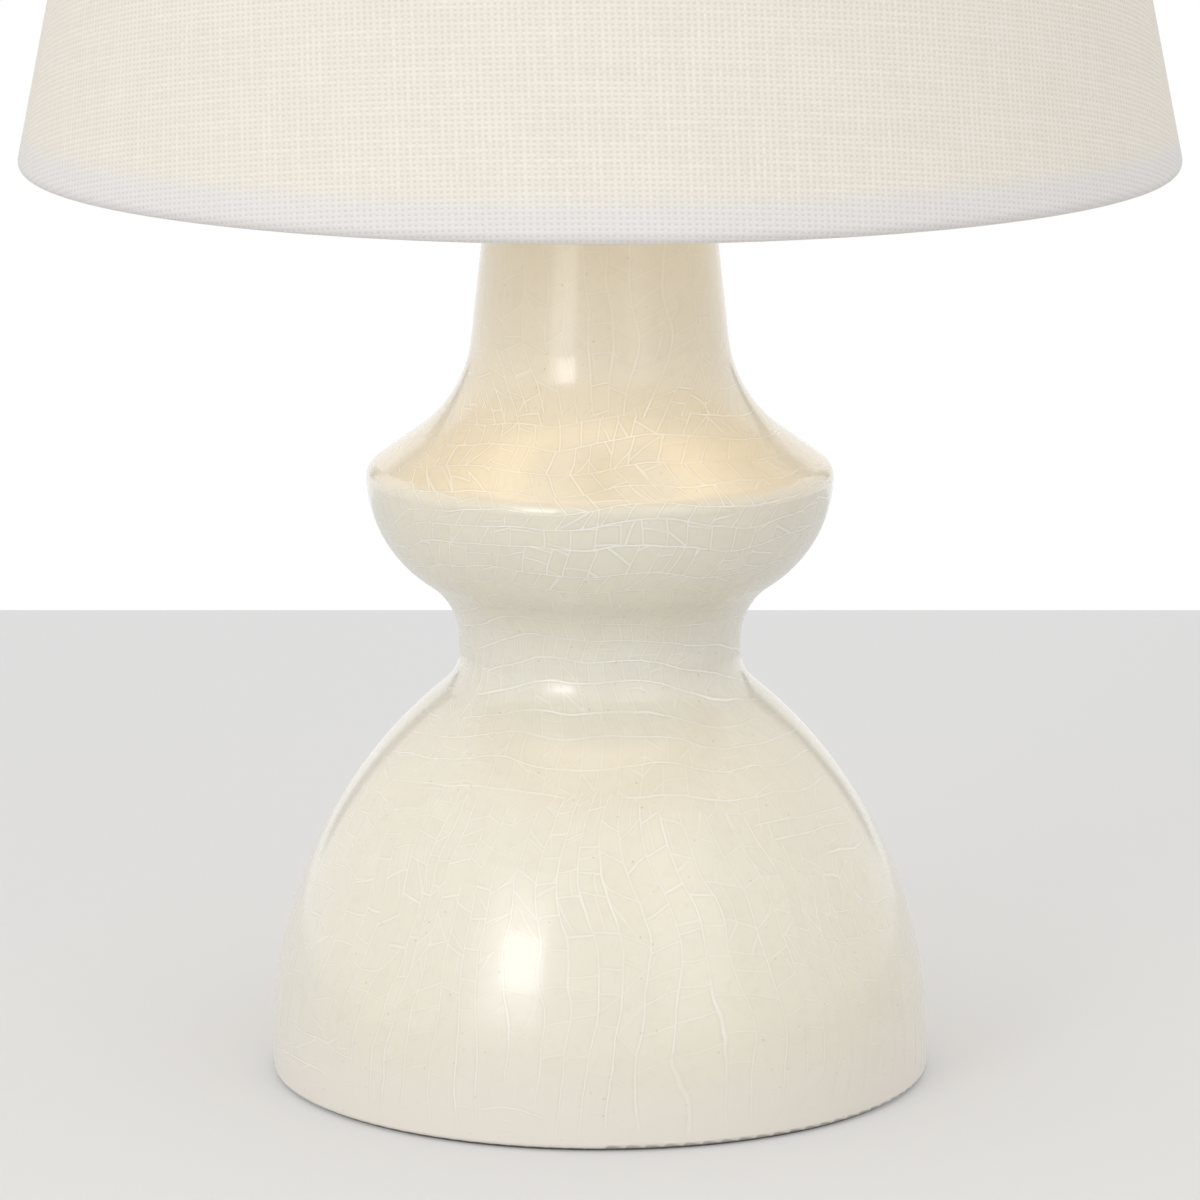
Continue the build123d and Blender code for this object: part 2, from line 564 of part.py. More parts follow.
def board_components():
    """Inductor, charger chip, capacitor and the two lead sockets on the board."""
    quarter = BOARD_LENGTH / 4
    front = -BOARD_WIDTH / 4
    inductor = block(INDUCTOR_WIDTH, INDUCTOR_WIDTH, BOARD_TOP, BOARD_TOP + INDUCTOR_HEIGHT)
    chip = block(CHIP_WIDTH, CHIP_WIDTH, BOARD_TOP, BOARD_TOP + CHIP_HEIGHT)
    capacitor = post(CAPACITOR_RADIUS, BOARD_TOP, BOARD_TOP + CAPACITOR_HEIGHT)
    socket = Pos(0, LEAD_SOCKET_MIDDLE) * block(
        LEAD_SOCKET_LENGTH, LEAD_SOCKET_WIDTH, BOARD_TOP, LEAD_SOCKET_TOP
    )
    return Part() + [
        Pos(-quarter, front) * inductor,
        Pos(quarter, front) * chip,
        Pos(quarter, -front) * capacitor,
        socket,
        Pos(-PORT_SOCKET_OFFSET, 0) * socket,
    ]


def board_screws():
    """Four screws that hold the control board on the cover's bosses."""
    length = BOARD_TOP - COVER_BOTTOM
    return group(BOARD_SCREW_PLACES, Pos(0, 0, BOARD_TOP) * screw(BOARD_SCREW_RADIUS, length))


def charge_bezel():
    """Port bezel: a flange that follows the body's curve and a barrel through its back wall."""
    cover = body_blank(-BEZEL_GAP - BEZEL_THICKNESS)
    flange = (port_cut(BEZEL_RADIUS) & cover) - body_blank(-BEZEL_GAP)
    bezel = flange + (port_cut(BARREL_RADIUS) & cover)
    slot = SlotOverall(SOCKET_WIDTH + 2 * SOCKET_FIT, SOCKET_HEIGHT + 2 * SOCKET_FIT)
    bezel -= bar_to_back(slot, PORT_BACK, PORT_FACE, PORT_HEIGHT)
    return bezel - bar_to_back(Circle(LIGHT_RADIUS + SOCKET_FIT), PORT_BACK, PORT_FACE, LIGHT_HEIGHT)


def charge_socket():
    """Flat round-ended charge socket with its contact tongue, set just behind the bezel's face."""
    front = PORT_FACE - SOCKET_RECESS
    cavity_back = front - SOCKET_CAVITY_DEPTH
    shell = bar_to_back(SlotOverall(SOCKET_WIDTH, SOCKET_HEIGHT), PORT_BACK, front, PORT_HEIGHT)
    cavity = SlotOverall(SOCKET_WIDTH - 2 * SOCKET_WALL, SOCKET_HEIGHT - 2 * SOCKET_WALL)
    shell -= bar_to_back(cavity, cavity_back, front, PORT_HEIGHT)
    tongue = Rectangle(TONGUE_WIDTH, TONGUE_THICKNESS)
    return shell + bar_to_back(tongue, cavity_back, cavity_back + TONGUE_LENGTH, PORT_HEIGHT)


def port_nut():
    """Ring nut that draws the bezel against the wall from inside."""
    outline = Circle(PORT_NUT_RADIUS) - Circle(BARREL_RADIUS + SCREW_FIT)
    return bar_to_back(outline, PORT_NUT_BACK, PORT_NUT_FRONT, PORT_HEIGHT)


def charge_light():
    """Clear light pipe above the charge socket."""
    light = bar_to_back(Circle(LIGHT_RADIUS), PORT_BACK, PORT_FACE, LIGHT_HEIGHT)
    return light & body_blank(-BEZEL_GAP - BEZEL_THICKNESS)


def port_lead():
    """Lead from the charge socket to the control board."""
    socket_height = BOARD_TOP + LEAD_SOCKET_HEIGHT / 2
    points = [
        (0, PORT_BACK, PORT_HEIGHT),
        (0, PORT_BACK - PORT_LEAD_RUN, PORT_HEIGHT),
        (-PORT_SOCKET_OFFSET, LEAD_SOCKET_BACK + PORT_LEAD_RUN, socket_height),
        (-PORT_SOCKET_OFFSET, LEAD_SOCKET_BACK, socket_height),
    ]
    return bent_wire(points, PORT_LEAD_BEND_RADIUS, LEAD_RADIUS)


def lamp_lead():
    """Lead from the control board, in through the pipe's slot and up to the lamp board."""
    points = [
        (0, LEAD_SOCKET_MIDDLE, LEAD_SOCKET_TOP),
        (0, LEAD_SOCKET_MIDDLE, LEAD_TURN_IN),
        (0, 0, LEAD_ON_AXIS),
        (0, 0, LED_BOARD_TOP),
    ]
    return bent_wire(points, LEAD_BEND_RADIUS, LEAD_RADIUS)


def neck_gasket():
    """Rubber ring between the neck's rim and its cap."""
    return tube(neck_radius(), NECK_SPIGOT_RADIUS + NECK_CAP_FIT, NECK_TOP, NECK_GASKET_TOP)


def neck_cap():
    """Spun cap over the neck's open top, centred by a spigot."""
    cap = tube(neck_radius() + NECK_CAP_OVERHANG, PIPE_HOLE_RADIUS, NECK_GASKET_TOP, NECK_CAP_TOP)
    spigot_bottom = NECK_GASKET_TOP - NECK_CAP_SPIGOT
    return cap + tube(NECK_SPIGOT_RADIUS, PIPE_HOLE_RADIUS, spigot_bottom, NECK_GASKET_TOP)


def harp_saddle():
    """Strip clamped under the lamp head, with an upright post at each end for the harp."""
    strip = block(2 * POST_REACH, SADDLE_WIDTH, NECK_NUT_TOP, SADDLE_TOP)
    round_end = post(SADDLE_WIDTH / 2, NECK_NUT_TOP, SADDLE_TOP)
    upright = post(HARP_WIRE_RADIUS, SADDLE_TOP, POST_TOP)
    ends = group([Pos(-POST_REACH, 0), Pos(POST_REACH, 0)], round_end + upright)
    return strip + ends - post(PIPE_HOLE_RADIUS, NECK_NUT_TOP, SADDLE_TOP)


def lamp_cup():
    """Spun cup of the lamp head, flared from the saddle, with the dimmer's hole at the front."""
    cup = turned(
        Polyline(
            (PIPE_HOLE_RADIUS, SADDLE_TOP),
            (CUP_NECK_RADIUS, SADDLE_TOP),
            (CUP_RADIUS, SADDLE_TOP + CUP_FLARE),
            (CUP_RADIUS, CUP_TOP),
            (CUP_BORE_RADIUS, CUP_TOP),
            (CUP_BORE_RADIUS, CUP_FLOOR_TOP + CUP_FLARE),
            (CUP_NECK_RADIUS - CUP_WALL, CUP_FLOOR_TOP),
            (PIPE_HOLE_RADIUS, CUP_FLOOR_TOP),
            close=True,
        )
    )
    return cup - bar_to_back(Circle(BUSH_RADIUS + BUSH_FIT), BUSH_FRONT, POT_FRONT, DIMMER_HEIGHT)


def dimmer_control():
    """Rotary control inside the cup, with its bush out through the cup's wall."""
    case = bar_to_back(Circle(POT_RADIUS), POT_FRONT, POT_FRONT + POT_DEPTH, DIMMER_HEIGHT)
    bush = bar_to_back(Circle(BUSH_RADIUS), BUSH_FRONT, POT_FRONT, DIMMER_HEIGHT)
    bore = bar_to_back(Circle(SHAFT_RADIUS + SHAFT_FIT), BUSH_FRONT, POT_FRONT + SHAFT_DEPTH, DIMMER_HEIGHT)
    return case + bush - bore


def dimmer_nut():
    """Thin nut on the bush, against the outside of the cup."""
    hexagon = RegularPolygon(DIMMER_NUT_FLATS / 2, 6, major_radius=False)
    outline = hexagon - Circle(BUSH_RADIUS + SCREW_FIT)
    back = -CUP_RADIUS - DIMMER_NUT_GAP
    return bar_to_back(outline, back - DIMMER_NUT_THICKNESS, back, DIMMER_HEIGHT)


def dimmer_shaft():
    """Turning shaft from the control to the bottom of the knob's bore."""
    shaft_end = POT_FRONT + SHAFT_DEPTH - SHAFT_FIT
    return bar_to_back(Circle(SHAFT_RADIUS), KNOB_BACK - KNOB_BORE_DEPTH, shaft_end, DIMMER_HEIGHT)


def dimmer_knob():
    """Fluted knob pushed on the shaft."""
    knob = bar_to_back(Circle(KNOB_RADIUS), KNOB_FRONT, KNOB_BACK, DIMMER_HEIGHT)
    knob = chamfer(knob.edges().group_by(Axis.Y)[0], KNOB_EDGE)
    flutes = PolarLocations(KNOB_RADIUS, KNOB_FLUTES).locations
    outline = Sketch() + [place * Circle(KNOB_FLUTE_RADIUS) for place in flutes]
    knob -= bar_to_back(outline, KNOB_FRONT, KNOB_BACK, DIMMER_HEIGHT)
    return knob - bar_to_back(Circle(SHAFT_RADIUS), KNOB_BACK - KNOB_BORE_DEPTH, KNOB_BACK, DIMMER_HEIGHT)


def heat_sink():
    """Finned aluminium seat for the lamp board, plugged into the top of the cup."""
    sink = post(CUP_RADIUS, CUP_TOP, SINK_TOP) + post(SINK_BOSS_RADIUS, SINK_TOP, SINK_BOSS_TOP)
    sink += post(CUP_BORE_RADIUS - SINK_FIT, CUP_TOP - SINK_SPIGOT, CUP_TOP)
    slot = block(2 * SINK_SLOT_DEPTH, SINK_SLOT_WIDTH, CUP_TOP + SINK_SLOT_LAND, SINK_TOP - SINK_SLOT_LAND)
    sink -= group(PolarLocations(CUP_RADIUS, SINK_FINS), slot)
    sink -= post(LEAD_HOLE_RADIUS, CUP_TOP - SINK_SPIGOT, SINK_BOSS_TOP)
    screw_bottom = LED_BOARD_TOP - LED_SCREW_LENGTH
    return sink - group(LED_SCREW_PLACES, post(LED_SCREW_RADIUS + SCREW_FIT, screw_bottom, SINK_BOSS_TOP))


def led_board():
    """Round metal-core board on the heat sink's boss."""
    board = tube(SINK_BOSS_RADIUS - LED_BOARD_MARGIN, LEAD_HOLE_RADIUS, SINK_BOSS_TOP, LED_BOARD_TOP)
    return board - group(LED_SCREW_PLACES, post(LED_SCREW_RADIUS + PIPE_FIT, SINK_BOSS_TOP, LED_BOARD_TOP))


def led_chips():
    """Ring of light-emitting chips on the lamp board."""
    chip = block(LED_WIDTH, LED_WIDTH, LED_BOARD_TOP, LED_BOARD_TOP + LED_HEIGHT)
    return group(PolarLocations(LED_CIRCLE_RADIUS, LED_COUNT), chip)


def led_screws():
    """Two screws that hold the lamp board on the heat sink."""
    return group(LED_SCREW_PLACES, Pos(0, 0, LED_BOARD_TOP) * screw(LED_SCREW_RADIUS, LED_SCREW_LENGTH))


def diffuser_globe():
    """Opal globe with a short skirt that fits over the heat sink's boss."""
    skirt_top = SINK_TOP + DIFFUSER_SKIRT_HEIGHT
    centre = Vector(0, DIFFUSER_CENTRE)
    outer_start = Vector(DIFFUSER_SKIRT_RADIUS, skirt_top)
    inner_radius = DIFFUSER_RADIUS - DIFFUSER_WALL
    inner_skirt = DIFFUSER_SKIRT_RADIUS - DIFFUSER_WALL
    inner_start = Vector(inner_skirt, DIFFUSER_CENTRE - math.sqrt(inner_radius**2 - inner_skirt**2))
    outer_top = centre + Vector(0, DIFFUSER_RADIUS)
    inner_top = centre + Vector(0, inner_radius)
    return turned(
        Line((DIFFUSER_SKIRT_RADIUS, SINK_TOP), outer_start),
        ThreePointArc(outer_start, centre + Vector(DIFFUSER_RADIUS, 0), outer_top),
        Line(outer_top, inner_top),
        ThreePointArc(inner_top, centre + Vector(inner_radius, 0), inner_start),
        Polyline(inner_start, (inner_skirt, SINK_TOP), (DIFFUSER_SKIRT_RADIUS, SINK_TOP)),
    )


def harp_wire():
    """Bowed wire loop from one saddle post over the globe to the other."""
    leg_bend = SLEEVE_TOP + SLEEVE_TRAVEL + HARP_LEG_BEND_RADIUS / 2
    half = [
        (POST_REACH, 0, POST_TOP),
        (POST_REACH, 0, leg_bend),
        (HARP_BOW, 0, DIFFUSER_TOP),
        (HARP_BOW - HARP_TOP_DRAW_IN, 0, HARP_TOP_AXIS),
    ]
    points = half + [(-x, y, z) for x, y, z in reversed(half)]
    bends = [HARP_LEG_BEND_RADIUS, HARP_BOW_BEND_RADIUS, HARP_TOP_BEND_RADIUS]
    return bent_wire(points, bends + bends[::-1], HARP_WIRE_RADIUS)


def harp_stud():
    """Hub on the middle of the harp, with a shoulder for the shade and a threaded stud above it."""
    hub = post(HUB_RADIUS, HUB_BOTTOM, HUB_TOP)
    hub += post(STUD_SHOULDER_RADIUS, HUB_TOP, SHADE_SEAT)
    hub += post(STUD_RADIUS, SHADE_SEAT, SHADE_SEAT + STUD_LENGTH)
    wire_hole = Rot(0, 90, 0) * Cylinder(HARP_WIRE_RADIUS + RING_FIT, 2 * HUB_RADIUS)
    return hub - Pos(0, 0, HARP_TOP_AXIS) * wire_hole


def harp_sleeve(side):
    """Sleeve over the joint between a saddle post and a leg of the harp."""
    sleeve = tube(SLEEVE_RADIUS, HARP_WIRE_RADIUS + SLEEVE_FIT, SADDLE_TOP, SLEEVE_TOP)
    return Pos(side * POST_REACH, 0, 0) * sleeve


def shade_strip(depth, thickness, start, end):
    """Layer of the shade's half section between two places along the slant."""
    return make_face(
        Polyline(
            shade_point(start, depth),
            shade_point(start, depth + thickness),
            shade_point(end, depth + thickness),
            shade_point(end, depth),
            close=True,
        )
    )


def edge_circles(radius):
    """Circles round both ring wires in the shade's half section."""
    return Pos(LOWER_RING) * Circle(radius) + Pos(UPPER_RING) * Circle(radius)


def liner_section():
    """Half section of the stiff liner between the two edge rolls."""
    strip = shade_strip(FABRIC_THICKNESS, LINER_THICKNESS, LOWER_ROLL, UPPER_ROLL)
    return strip - edge_circles(ROLL_RADIUS)


def spider_arm(radius):
    """Arm from the washer, level at first and then up to the upper ring."""
    level = SHADE_SEAT + WASHER_DISC_THICKNESS / 2
    points = [
        (WASHER_DISC_RADIUS / 2, 0, level),
        (SPIDER_ARM_LEVEL, 0, level),
        (UPPER_RING.X, 0, UPPER_RING.Y),
    ]
    return bent_wire(points, SPIDER_ARM_BEND_RADIUS, radius)


def spider_arms(radius):
    """All arms, one of them towards the back."""
    return group(PolarLocations(0, SPIDER_ARMS, start_angle=90), spider_arm(radius))


def shade_fabric():
    """Linen cover, rolled round both ring wires and turned in as a hem, notched for the arms."""
    face = shade_strip(0, FABRIC_THICKNESS, LOWER_ROLL, UPPER_ROLL)
    hem_depth = FABRIC_THICKNESS + LINER_THICKNESS
    lower_hem = shade_strip(hem_depth, FABRIC_THICKNESS, LOWER_ROLL, LOWER_ROLL + HEM_HEIGHT)
    upper_hem = shade_strip(hem_depth, FABRIC_THICKNESS, UPPER_ROLL - HEM_HEIGHT, UPPER_ROLL)
    section = face + lower_hem + upper_hem + edge_circles(ROLL_RADIUS)
    section -= edge_circles(RING_WIRE_RADIUS + RING_FIT)
    section -= liner_section()
    return revolve(Plane.XZ * section, Axis.Z) - spider_arms(RING_WIRE_RADIUS + SPIDER_ARM_NOTCH)


def shade_liner():
    """Stiff translucent liner glued behind the linen."""
    return revolve(Plane.XZ * liner_section(), Axis.Z)


def shade_spider():
    """Upper ring, arms and washer, welded as one frame."""
    ring_wire = Pos(0, 0, UPPER_RING.Y) * Torus(UPPER_RING.X, RING_WIRE_RADIUS)
    washer_hole = STUD_RADIUS + WASHER_DISC_FIT
    washer = tube(WASHER_DISC_RADIUS, washer_hole, SHADE_SEAT, SHADE_SEAT + WASHER_DISC_THICKNESS)
    arms = spider_arms(RING_WIRE_RADIUS)
    clear_faces = post(WASHER_DISC_RADIUS, SHADE_SEAT - RING_WIRE_RADIUS, SHADE_SEAT)
    clear_faces += post(WASHER_DISC_RADIUS, FINIAL_BOTTOM, FINIAL_BOTTOM + RING_WIRE_RADIUS)
    return ring_wire + (arms - clear_faces) + washer


def shade_lower_ring():
    """Wire ring inside the shade's lower edge."""
    return Pos(0, 0, LOWER_RING.Y) * Torus(LOWER_RING.X, RING_WIRE_RADIUS)


def finial():
    """Turned ball finial with a blind threaded hole."""
    neck_top = FINIAL_BOTTOM + FINIAL_FOOT_HEIGHT + FINIAL_NECK_HEIGHT
    ball_middle = neck_top + math.sqrt(FINIAL_BALL_RADIUS**2 - FINIAL_NECK_RADIUS**2)
    solid = post(FINIAL_FOOT_RADIUS, FINIAL_BOTTOM, FINIAL_BOTTOM + FINIAL_FOOT_HEIGHT)
    solid += post(FINIAL_NECK_RADIUS, FINIAL_BOTTOM, neck_top)
    solid += Pos(0, 0, ball_middle) * Sphere(FINIAL_BALL_RADIUS)
    thread_top = SHADE_SEAT + STUD_LENGTH + FINIAL_THREAD_RELIEF
    return solid - post(STUD_RADIUS + FINIAL_THREAD_FIT, FINIAL_BOTTOM, thread_top)


NODES = {
    "ceramic_body": ceramic_body(),
    "felt_pad": felt_pad(),
    "base_plate": base_plate(),
    "base_washer": base_washer(),
    "base_nut": hex_nut(BASE_NUT_BOTTOM),
    "lamp_pipe": lamp_pipe(),
    "battery_tray": battery_tray(),
    "battery_cells": battery_cells(),
    "cell_links": cell_links(),
    "battery_cover": battery_cover(),
    "tray_screws": tray_screws(),
    "control_board": control_board(),
    "board_components": board_components(),
    "board_screws": board_screws(),
    "charge_bezel": charge_bezel(),
    "charge_socket": charge_socket(),
    "charge_port_nut": port_nut(),
    "charge_light": charge_light(),
    "charge_lead": port_lead(),
    "lamp_lead": lamp_lead(),
    "neck_gasket": neck_gasket(),
    "neck_cap": neck_cap(),
    "neck_nut": hex_nut(NECK_CAP_TOP),
    "harp_saddle": harp_saddle(),
    "lamp_cup": lamp_cup(),
    "lamp_cup_nut": hex_nut(CUP_FLOOR_TOP),
    "dimmer_control": dimmer_control(),
    "dimmer_nut": dimmer_nut(),
    "dimmer_shaft": dimmer_shaft(),
    "dimmer_knob": dimmer_knob(),
    "heat_sink": heat_sink(),
    "led_board": led_board(),
    "led_chips": led_chips(),
    "led_screws": led_screws(),
    "diffuser_globe": diffuser_globe(),
    "harp_wire": harp_wire(),
    "harp_stud": harp_stud(),
    "harp_sleeve_left": harp_sleeve(-1),
    "harp_sleeve_right": harp_sleeve(1),
    "shade_fabric": shade_fabric(),
    "shade_liner": shade_liner(),
    "shade_spider": shade_spider(),
    "shade_lower_ring": shade_lower_ring(),
    "finial": finial(),
}

for name, shape in NODES.items():
    export_step(shape, f"parts/{name}.step")

print(f"shade bottom {SHADE_BOTTOM:.2f}, top {SHADE_TOP:.2f}, seat {SHADE_SEAT:.2f}")
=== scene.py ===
import json
import math
import bpy
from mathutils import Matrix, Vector
from mathutils.kdtree import KDTree


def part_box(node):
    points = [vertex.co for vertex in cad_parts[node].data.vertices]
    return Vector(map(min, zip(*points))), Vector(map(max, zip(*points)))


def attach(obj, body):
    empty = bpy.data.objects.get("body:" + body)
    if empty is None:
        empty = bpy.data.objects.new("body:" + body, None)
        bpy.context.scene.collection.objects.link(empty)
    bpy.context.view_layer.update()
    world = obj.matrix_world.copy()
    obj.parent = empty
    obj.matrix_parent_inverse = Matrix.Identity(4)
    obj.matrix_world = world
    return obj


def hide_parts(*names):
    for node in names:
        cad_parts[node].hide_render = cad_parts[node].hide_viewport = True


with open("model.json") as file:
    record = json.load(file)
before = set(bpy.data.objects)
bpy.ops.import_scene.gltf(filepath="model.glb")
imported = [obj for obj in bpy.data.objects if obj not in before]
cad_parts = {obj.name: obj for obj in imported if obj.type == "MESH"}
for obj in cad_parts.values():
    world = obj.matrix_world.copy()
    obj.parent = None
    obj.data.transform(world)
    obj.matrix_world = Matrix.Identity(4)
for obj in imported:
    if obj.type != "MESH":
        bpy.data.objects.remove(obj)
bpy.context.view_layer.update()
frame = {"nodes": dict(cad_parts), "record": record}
nodes = frame["nodes"]

# Shade, in metres: the same cone, rolled edges and hems as the solid it stands for
SHADE_BOTTOM_RADIUS = 0.1143
SHADE_TOP_RADIUS = 0.0810
SHADE_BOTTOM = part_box("shade_fabric")[0].z
SHADE_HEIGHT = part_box("shade_fabric")[1].z - SHADE_BOTTOM
CLOTH_THICKNESS = 0.0008
LINER_THICKNESS = 0.0005
RING_WIRE_RADIUS = 0.0014
ROLL_RADIUS = RING_WIRE_RADIUS + CLOTH_THICKNESS
HEM_HEIGHT = 0.008
SEAM_LAP_WIDTH = 0.011
WARP_PITCH = 0.00124
WEFT_PITCH = 0.00099
CLOTH_SKEW = 0.04

# Body: height of points of its outline, and length along the outline up to them
BODY_RUN = (
    (0.0060, 0.0060), (0.0225, 0.0226), (0.0384, 0.0391), (0.0533, 0.0556), (0.0667, 0.0721),
    (0.0782, 0.0887), (0.0843, 0.0957), (0.0914, 0.1030), (0.0976, 0.1102), (0.1021, 0.1174),
    (0.1077, 0.1248), (0.1145, 0.1321), (0.1214, 0.1392), (0.1261, 0.1464), (0.1303, 0.1536),
    (0.1356, 0.1609), (0.1421, 0.1682), (0.1495, 0.1757),
)
BODY_HEIGHT = 0.2000
BODY_WHOLE_RUN = 0.2266
# Radii that turn angles round the body into lengths, and the heights between which one gives way to the other
DOME_SPAN = 0.055
NECK_SPAN = 0.026
SPAN_CHANGE = (0.122, 0.152)
# Heights between which each zone of the glaze fades in
FOOT_EDGE = (0.001, 0.008)
FOOT_BAND = (0.003, 0.022)
DOME_SIDE = (0.012, 0.050)
DOME_CROWN = (0.052, 0.074)
SHOULDER = (0.060, 0.090)
COLLAR = (0.100, 0.112)
NECK_FOOT = (0.130, 0.146)
NECK = (0.134, 0.156)
NECK_TOP = (0.140, 0.165)
# Spacing of the long cracks, the rungs between them and the ties between rungs
LEVEL_PITCHES = (0.0052, 0.0060, 0.0040)
STEEP_PITCHES = (0.0046, 0.0062, 0.0042)
SPECK_CELLS = 420.0

# Foot
FELT_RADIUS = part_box("felt_pad")[1].x
FELT_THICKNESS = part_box("felt_pad")[1].z

# Studio
FLOOR_GREY = 0.752
FLOOR_RETURN = 0.82
FLOOR_BACK_EDGE = 0.468
CAMERA_PLACE = (0.0, -1.2578, 0.3429)
CAMERA_DIP = math.radians(11.148)
CAMERA_LENS = 193.5
AIM = Vector((0.0, 0.0, 0.06))


# Shader maths

class Tone:
    """A value, colour or direction in a finish; its operators add the nodes that work it out."""

    def __init__(self, tree, socket=None):
        self.tree = tree
        self.socket = socket

    def put(self, kind, settings=(), inputs=(), out=0):
        """Adds a node, sets it up, feeds its sockets and gives one of its outputs."""
        node = self.tree.nodes.new("ShaderNode" + kind)
        for name, value in dict(settings).items():
            if name == "stops":
                for place, level in value:
                    node.color_ramp.elements.new(place).color = (level, level, level, 1)
            else:
                setattr(node, name, value)
        for name, value in dict(inputs).items():
            self.feed(value, node.inputs[name])
        return Tone(self.tree, node.outputs[out])

    def feed(self, value, socket):
        """Links a tone to a socket, or sets a plain value on it."""
        if isinstance(value, Tone):
            self.tree.links.new(value.socket, socket)
        else:
            socket.default_value = value

    def maths(self, operation, first, second=0.0):
        return self.put("Math", {"operation": operation}, {0: first, 1: second})

    def __add__(self, other):
        return self.maths("ADD", self, other)

    __radd__ = __add__

    def __sub__(self, other):
        return self.maths("SUBTRACT", self, other)

    def __rsub__(self, other):
        return self.maths("SUBTRACT", other, self)

    def __mul__(self, other):
        return self.maths("MULTIPLY", self, other)

    __rmul__ = __mul__

    def __truediv__(self, other):
        return self.maths("DIVIDE", self, other)

    def __pow__(self, other):
        return self.maths("POWER", self, other)

    def __abs__(self):
        return self.maths("ABSOLUTE", self)

    def most(self, other):
        return self.maths("MAXIMUM", self, other)

    def least(self, other):
        return self.maths("MINIMUM", self, other)

    def rise(self, low, high):
        """0 below low, 1 above high, eased between them."""
        inputs = {"Value": self, "From Min": low, "From Max": high}
        return self.put("MapRange", {"interpolation_type": "SMOOTHSTEP"}, inputs)

    def moved(self, offset):
        return self.put("VectorMath", {"operation": "ADD"}, {0: self, 1: offset})

    def times(self, factor):
        return self.put("VectorMath", {"operation": "MULTIPLY"}, {0: self, 1: factor})

    def noise(self, scale, detail=2.0, roughness=0.5, out=0):
        inputs = {"Vector": self, "Scale": scale, "Detail": detail, "Roughness": roughness}
        return self.put("TexNoise", (), inputs, out)

    def cells(self, scale, out="Distance"):
        return self.put("TexVoronoi", (), {"Vector": self, "Scale": scale}, out)


class Finish:
    """A material with its surface shader, whose sockets are set by name."""

    def __init__(self, name, **fixed):
        self.material = bpy.data.materials.new(name)
        self.material.use_nodes = True
        self.tree = self.material.node_tree
        self.shader = self.tree.nodes["Principled BSDF"]
        self.start = Tone(self.tree)
        self.set(**fixed)

    def set(self, **values):
        for name, value in values.items():
            self.start.feed(value, self.shader.inputs[name.replace("_", " ")])

    def place(self):
        """Place on the piece, in metres."""
        return self.start.put("TexCoord", out="Object")

    def cloth_place(self):
        """Place on the flat cut of the cloth, in metres."""
        return self.start.put("UVMap", {"uv_map": "cloth"})

    def parts(self, vector):
        split = self.start.put("SeparateXYZ", (), {0: vector})
        outputs = split.socket.node.outputs
        return tuple(Tone(self.tree, output) for output in outputs)

    def joined(self, x, y, z):
        return self.start.put("CombineXYZ", (), {0: x, 1: y, 2: z})

    def bump(self, height, distance, strength=1.0):
        """Fine relief on the surface, in metres of height."""
        inputs = {"Strength": strength, "Distance": distance, "Height": height}
        self.set(Normal=self.start.put("Bump", (), inputs))

    def mixed(self, mask, one, other):
        """One colour where the mask is 0 and another where it is 1."""
        return self.start.put("Mix", {"data_type": "RGBA"}, {0: mask, 6: one, 7: other}, out=2)


def rgb(red, green, blue):
    """Colour from its eight-bit display values."""
    def linear(value):
        share = value / 255
        return share / 12.92 if share <= 0.04045 else ((share + 0.055) / 1.055) ** 2.4
    return (linear(red), linear(green), linear(blue), 1.0)


# Finishes

def crack_lines(glaze, first, second, pitches, stretches):
    """Ladder of cracks: how far off its long lines, rungs and slanted ties are, and a mark for each tile."""
    def lines(place, pitch, stretch):
        """Distance to lines about a pitch apart, and marks that differ from one strip to the next."""
        inputs = {"W": place, "Scale": 1 / pitch}
        nearest = {"voronoi_dimensions": "1D", "feature": "DISTANCE_TO_EDGE"}
        edge = glaze.start.put("TexVoronoi", nearest, inputs) * stretch * pitch
        strip = {"voronoi_dimensions": "1D", "feature": "F1"}
        return edge, glaze.parts(glaze.start.put("TexVoronoi", strip, inputs, out="Color"))

    long_edge, long_mark = lines(first, pitches[0], stretches[0])
    leaning = second + first * (long_mark[1] * 1.6 - 0.8) + long_mark[0] * 0.9
    rung_edge, rung_mark = lines(leaning, pitches[1], stretches[1])
    slant = rung_mark[1] * 1.4 + long_mark[1] * 0.6 - 1
    tied = first * (1 - abs(slant)) + second * slant + rung_mark[0] * 0.7 + long_mark[2]
    tie_edge, _ = lines(tied, pitches[2], 1.0)
    return (long_edge, rung_edge, tie_edge), rung_mark[2]


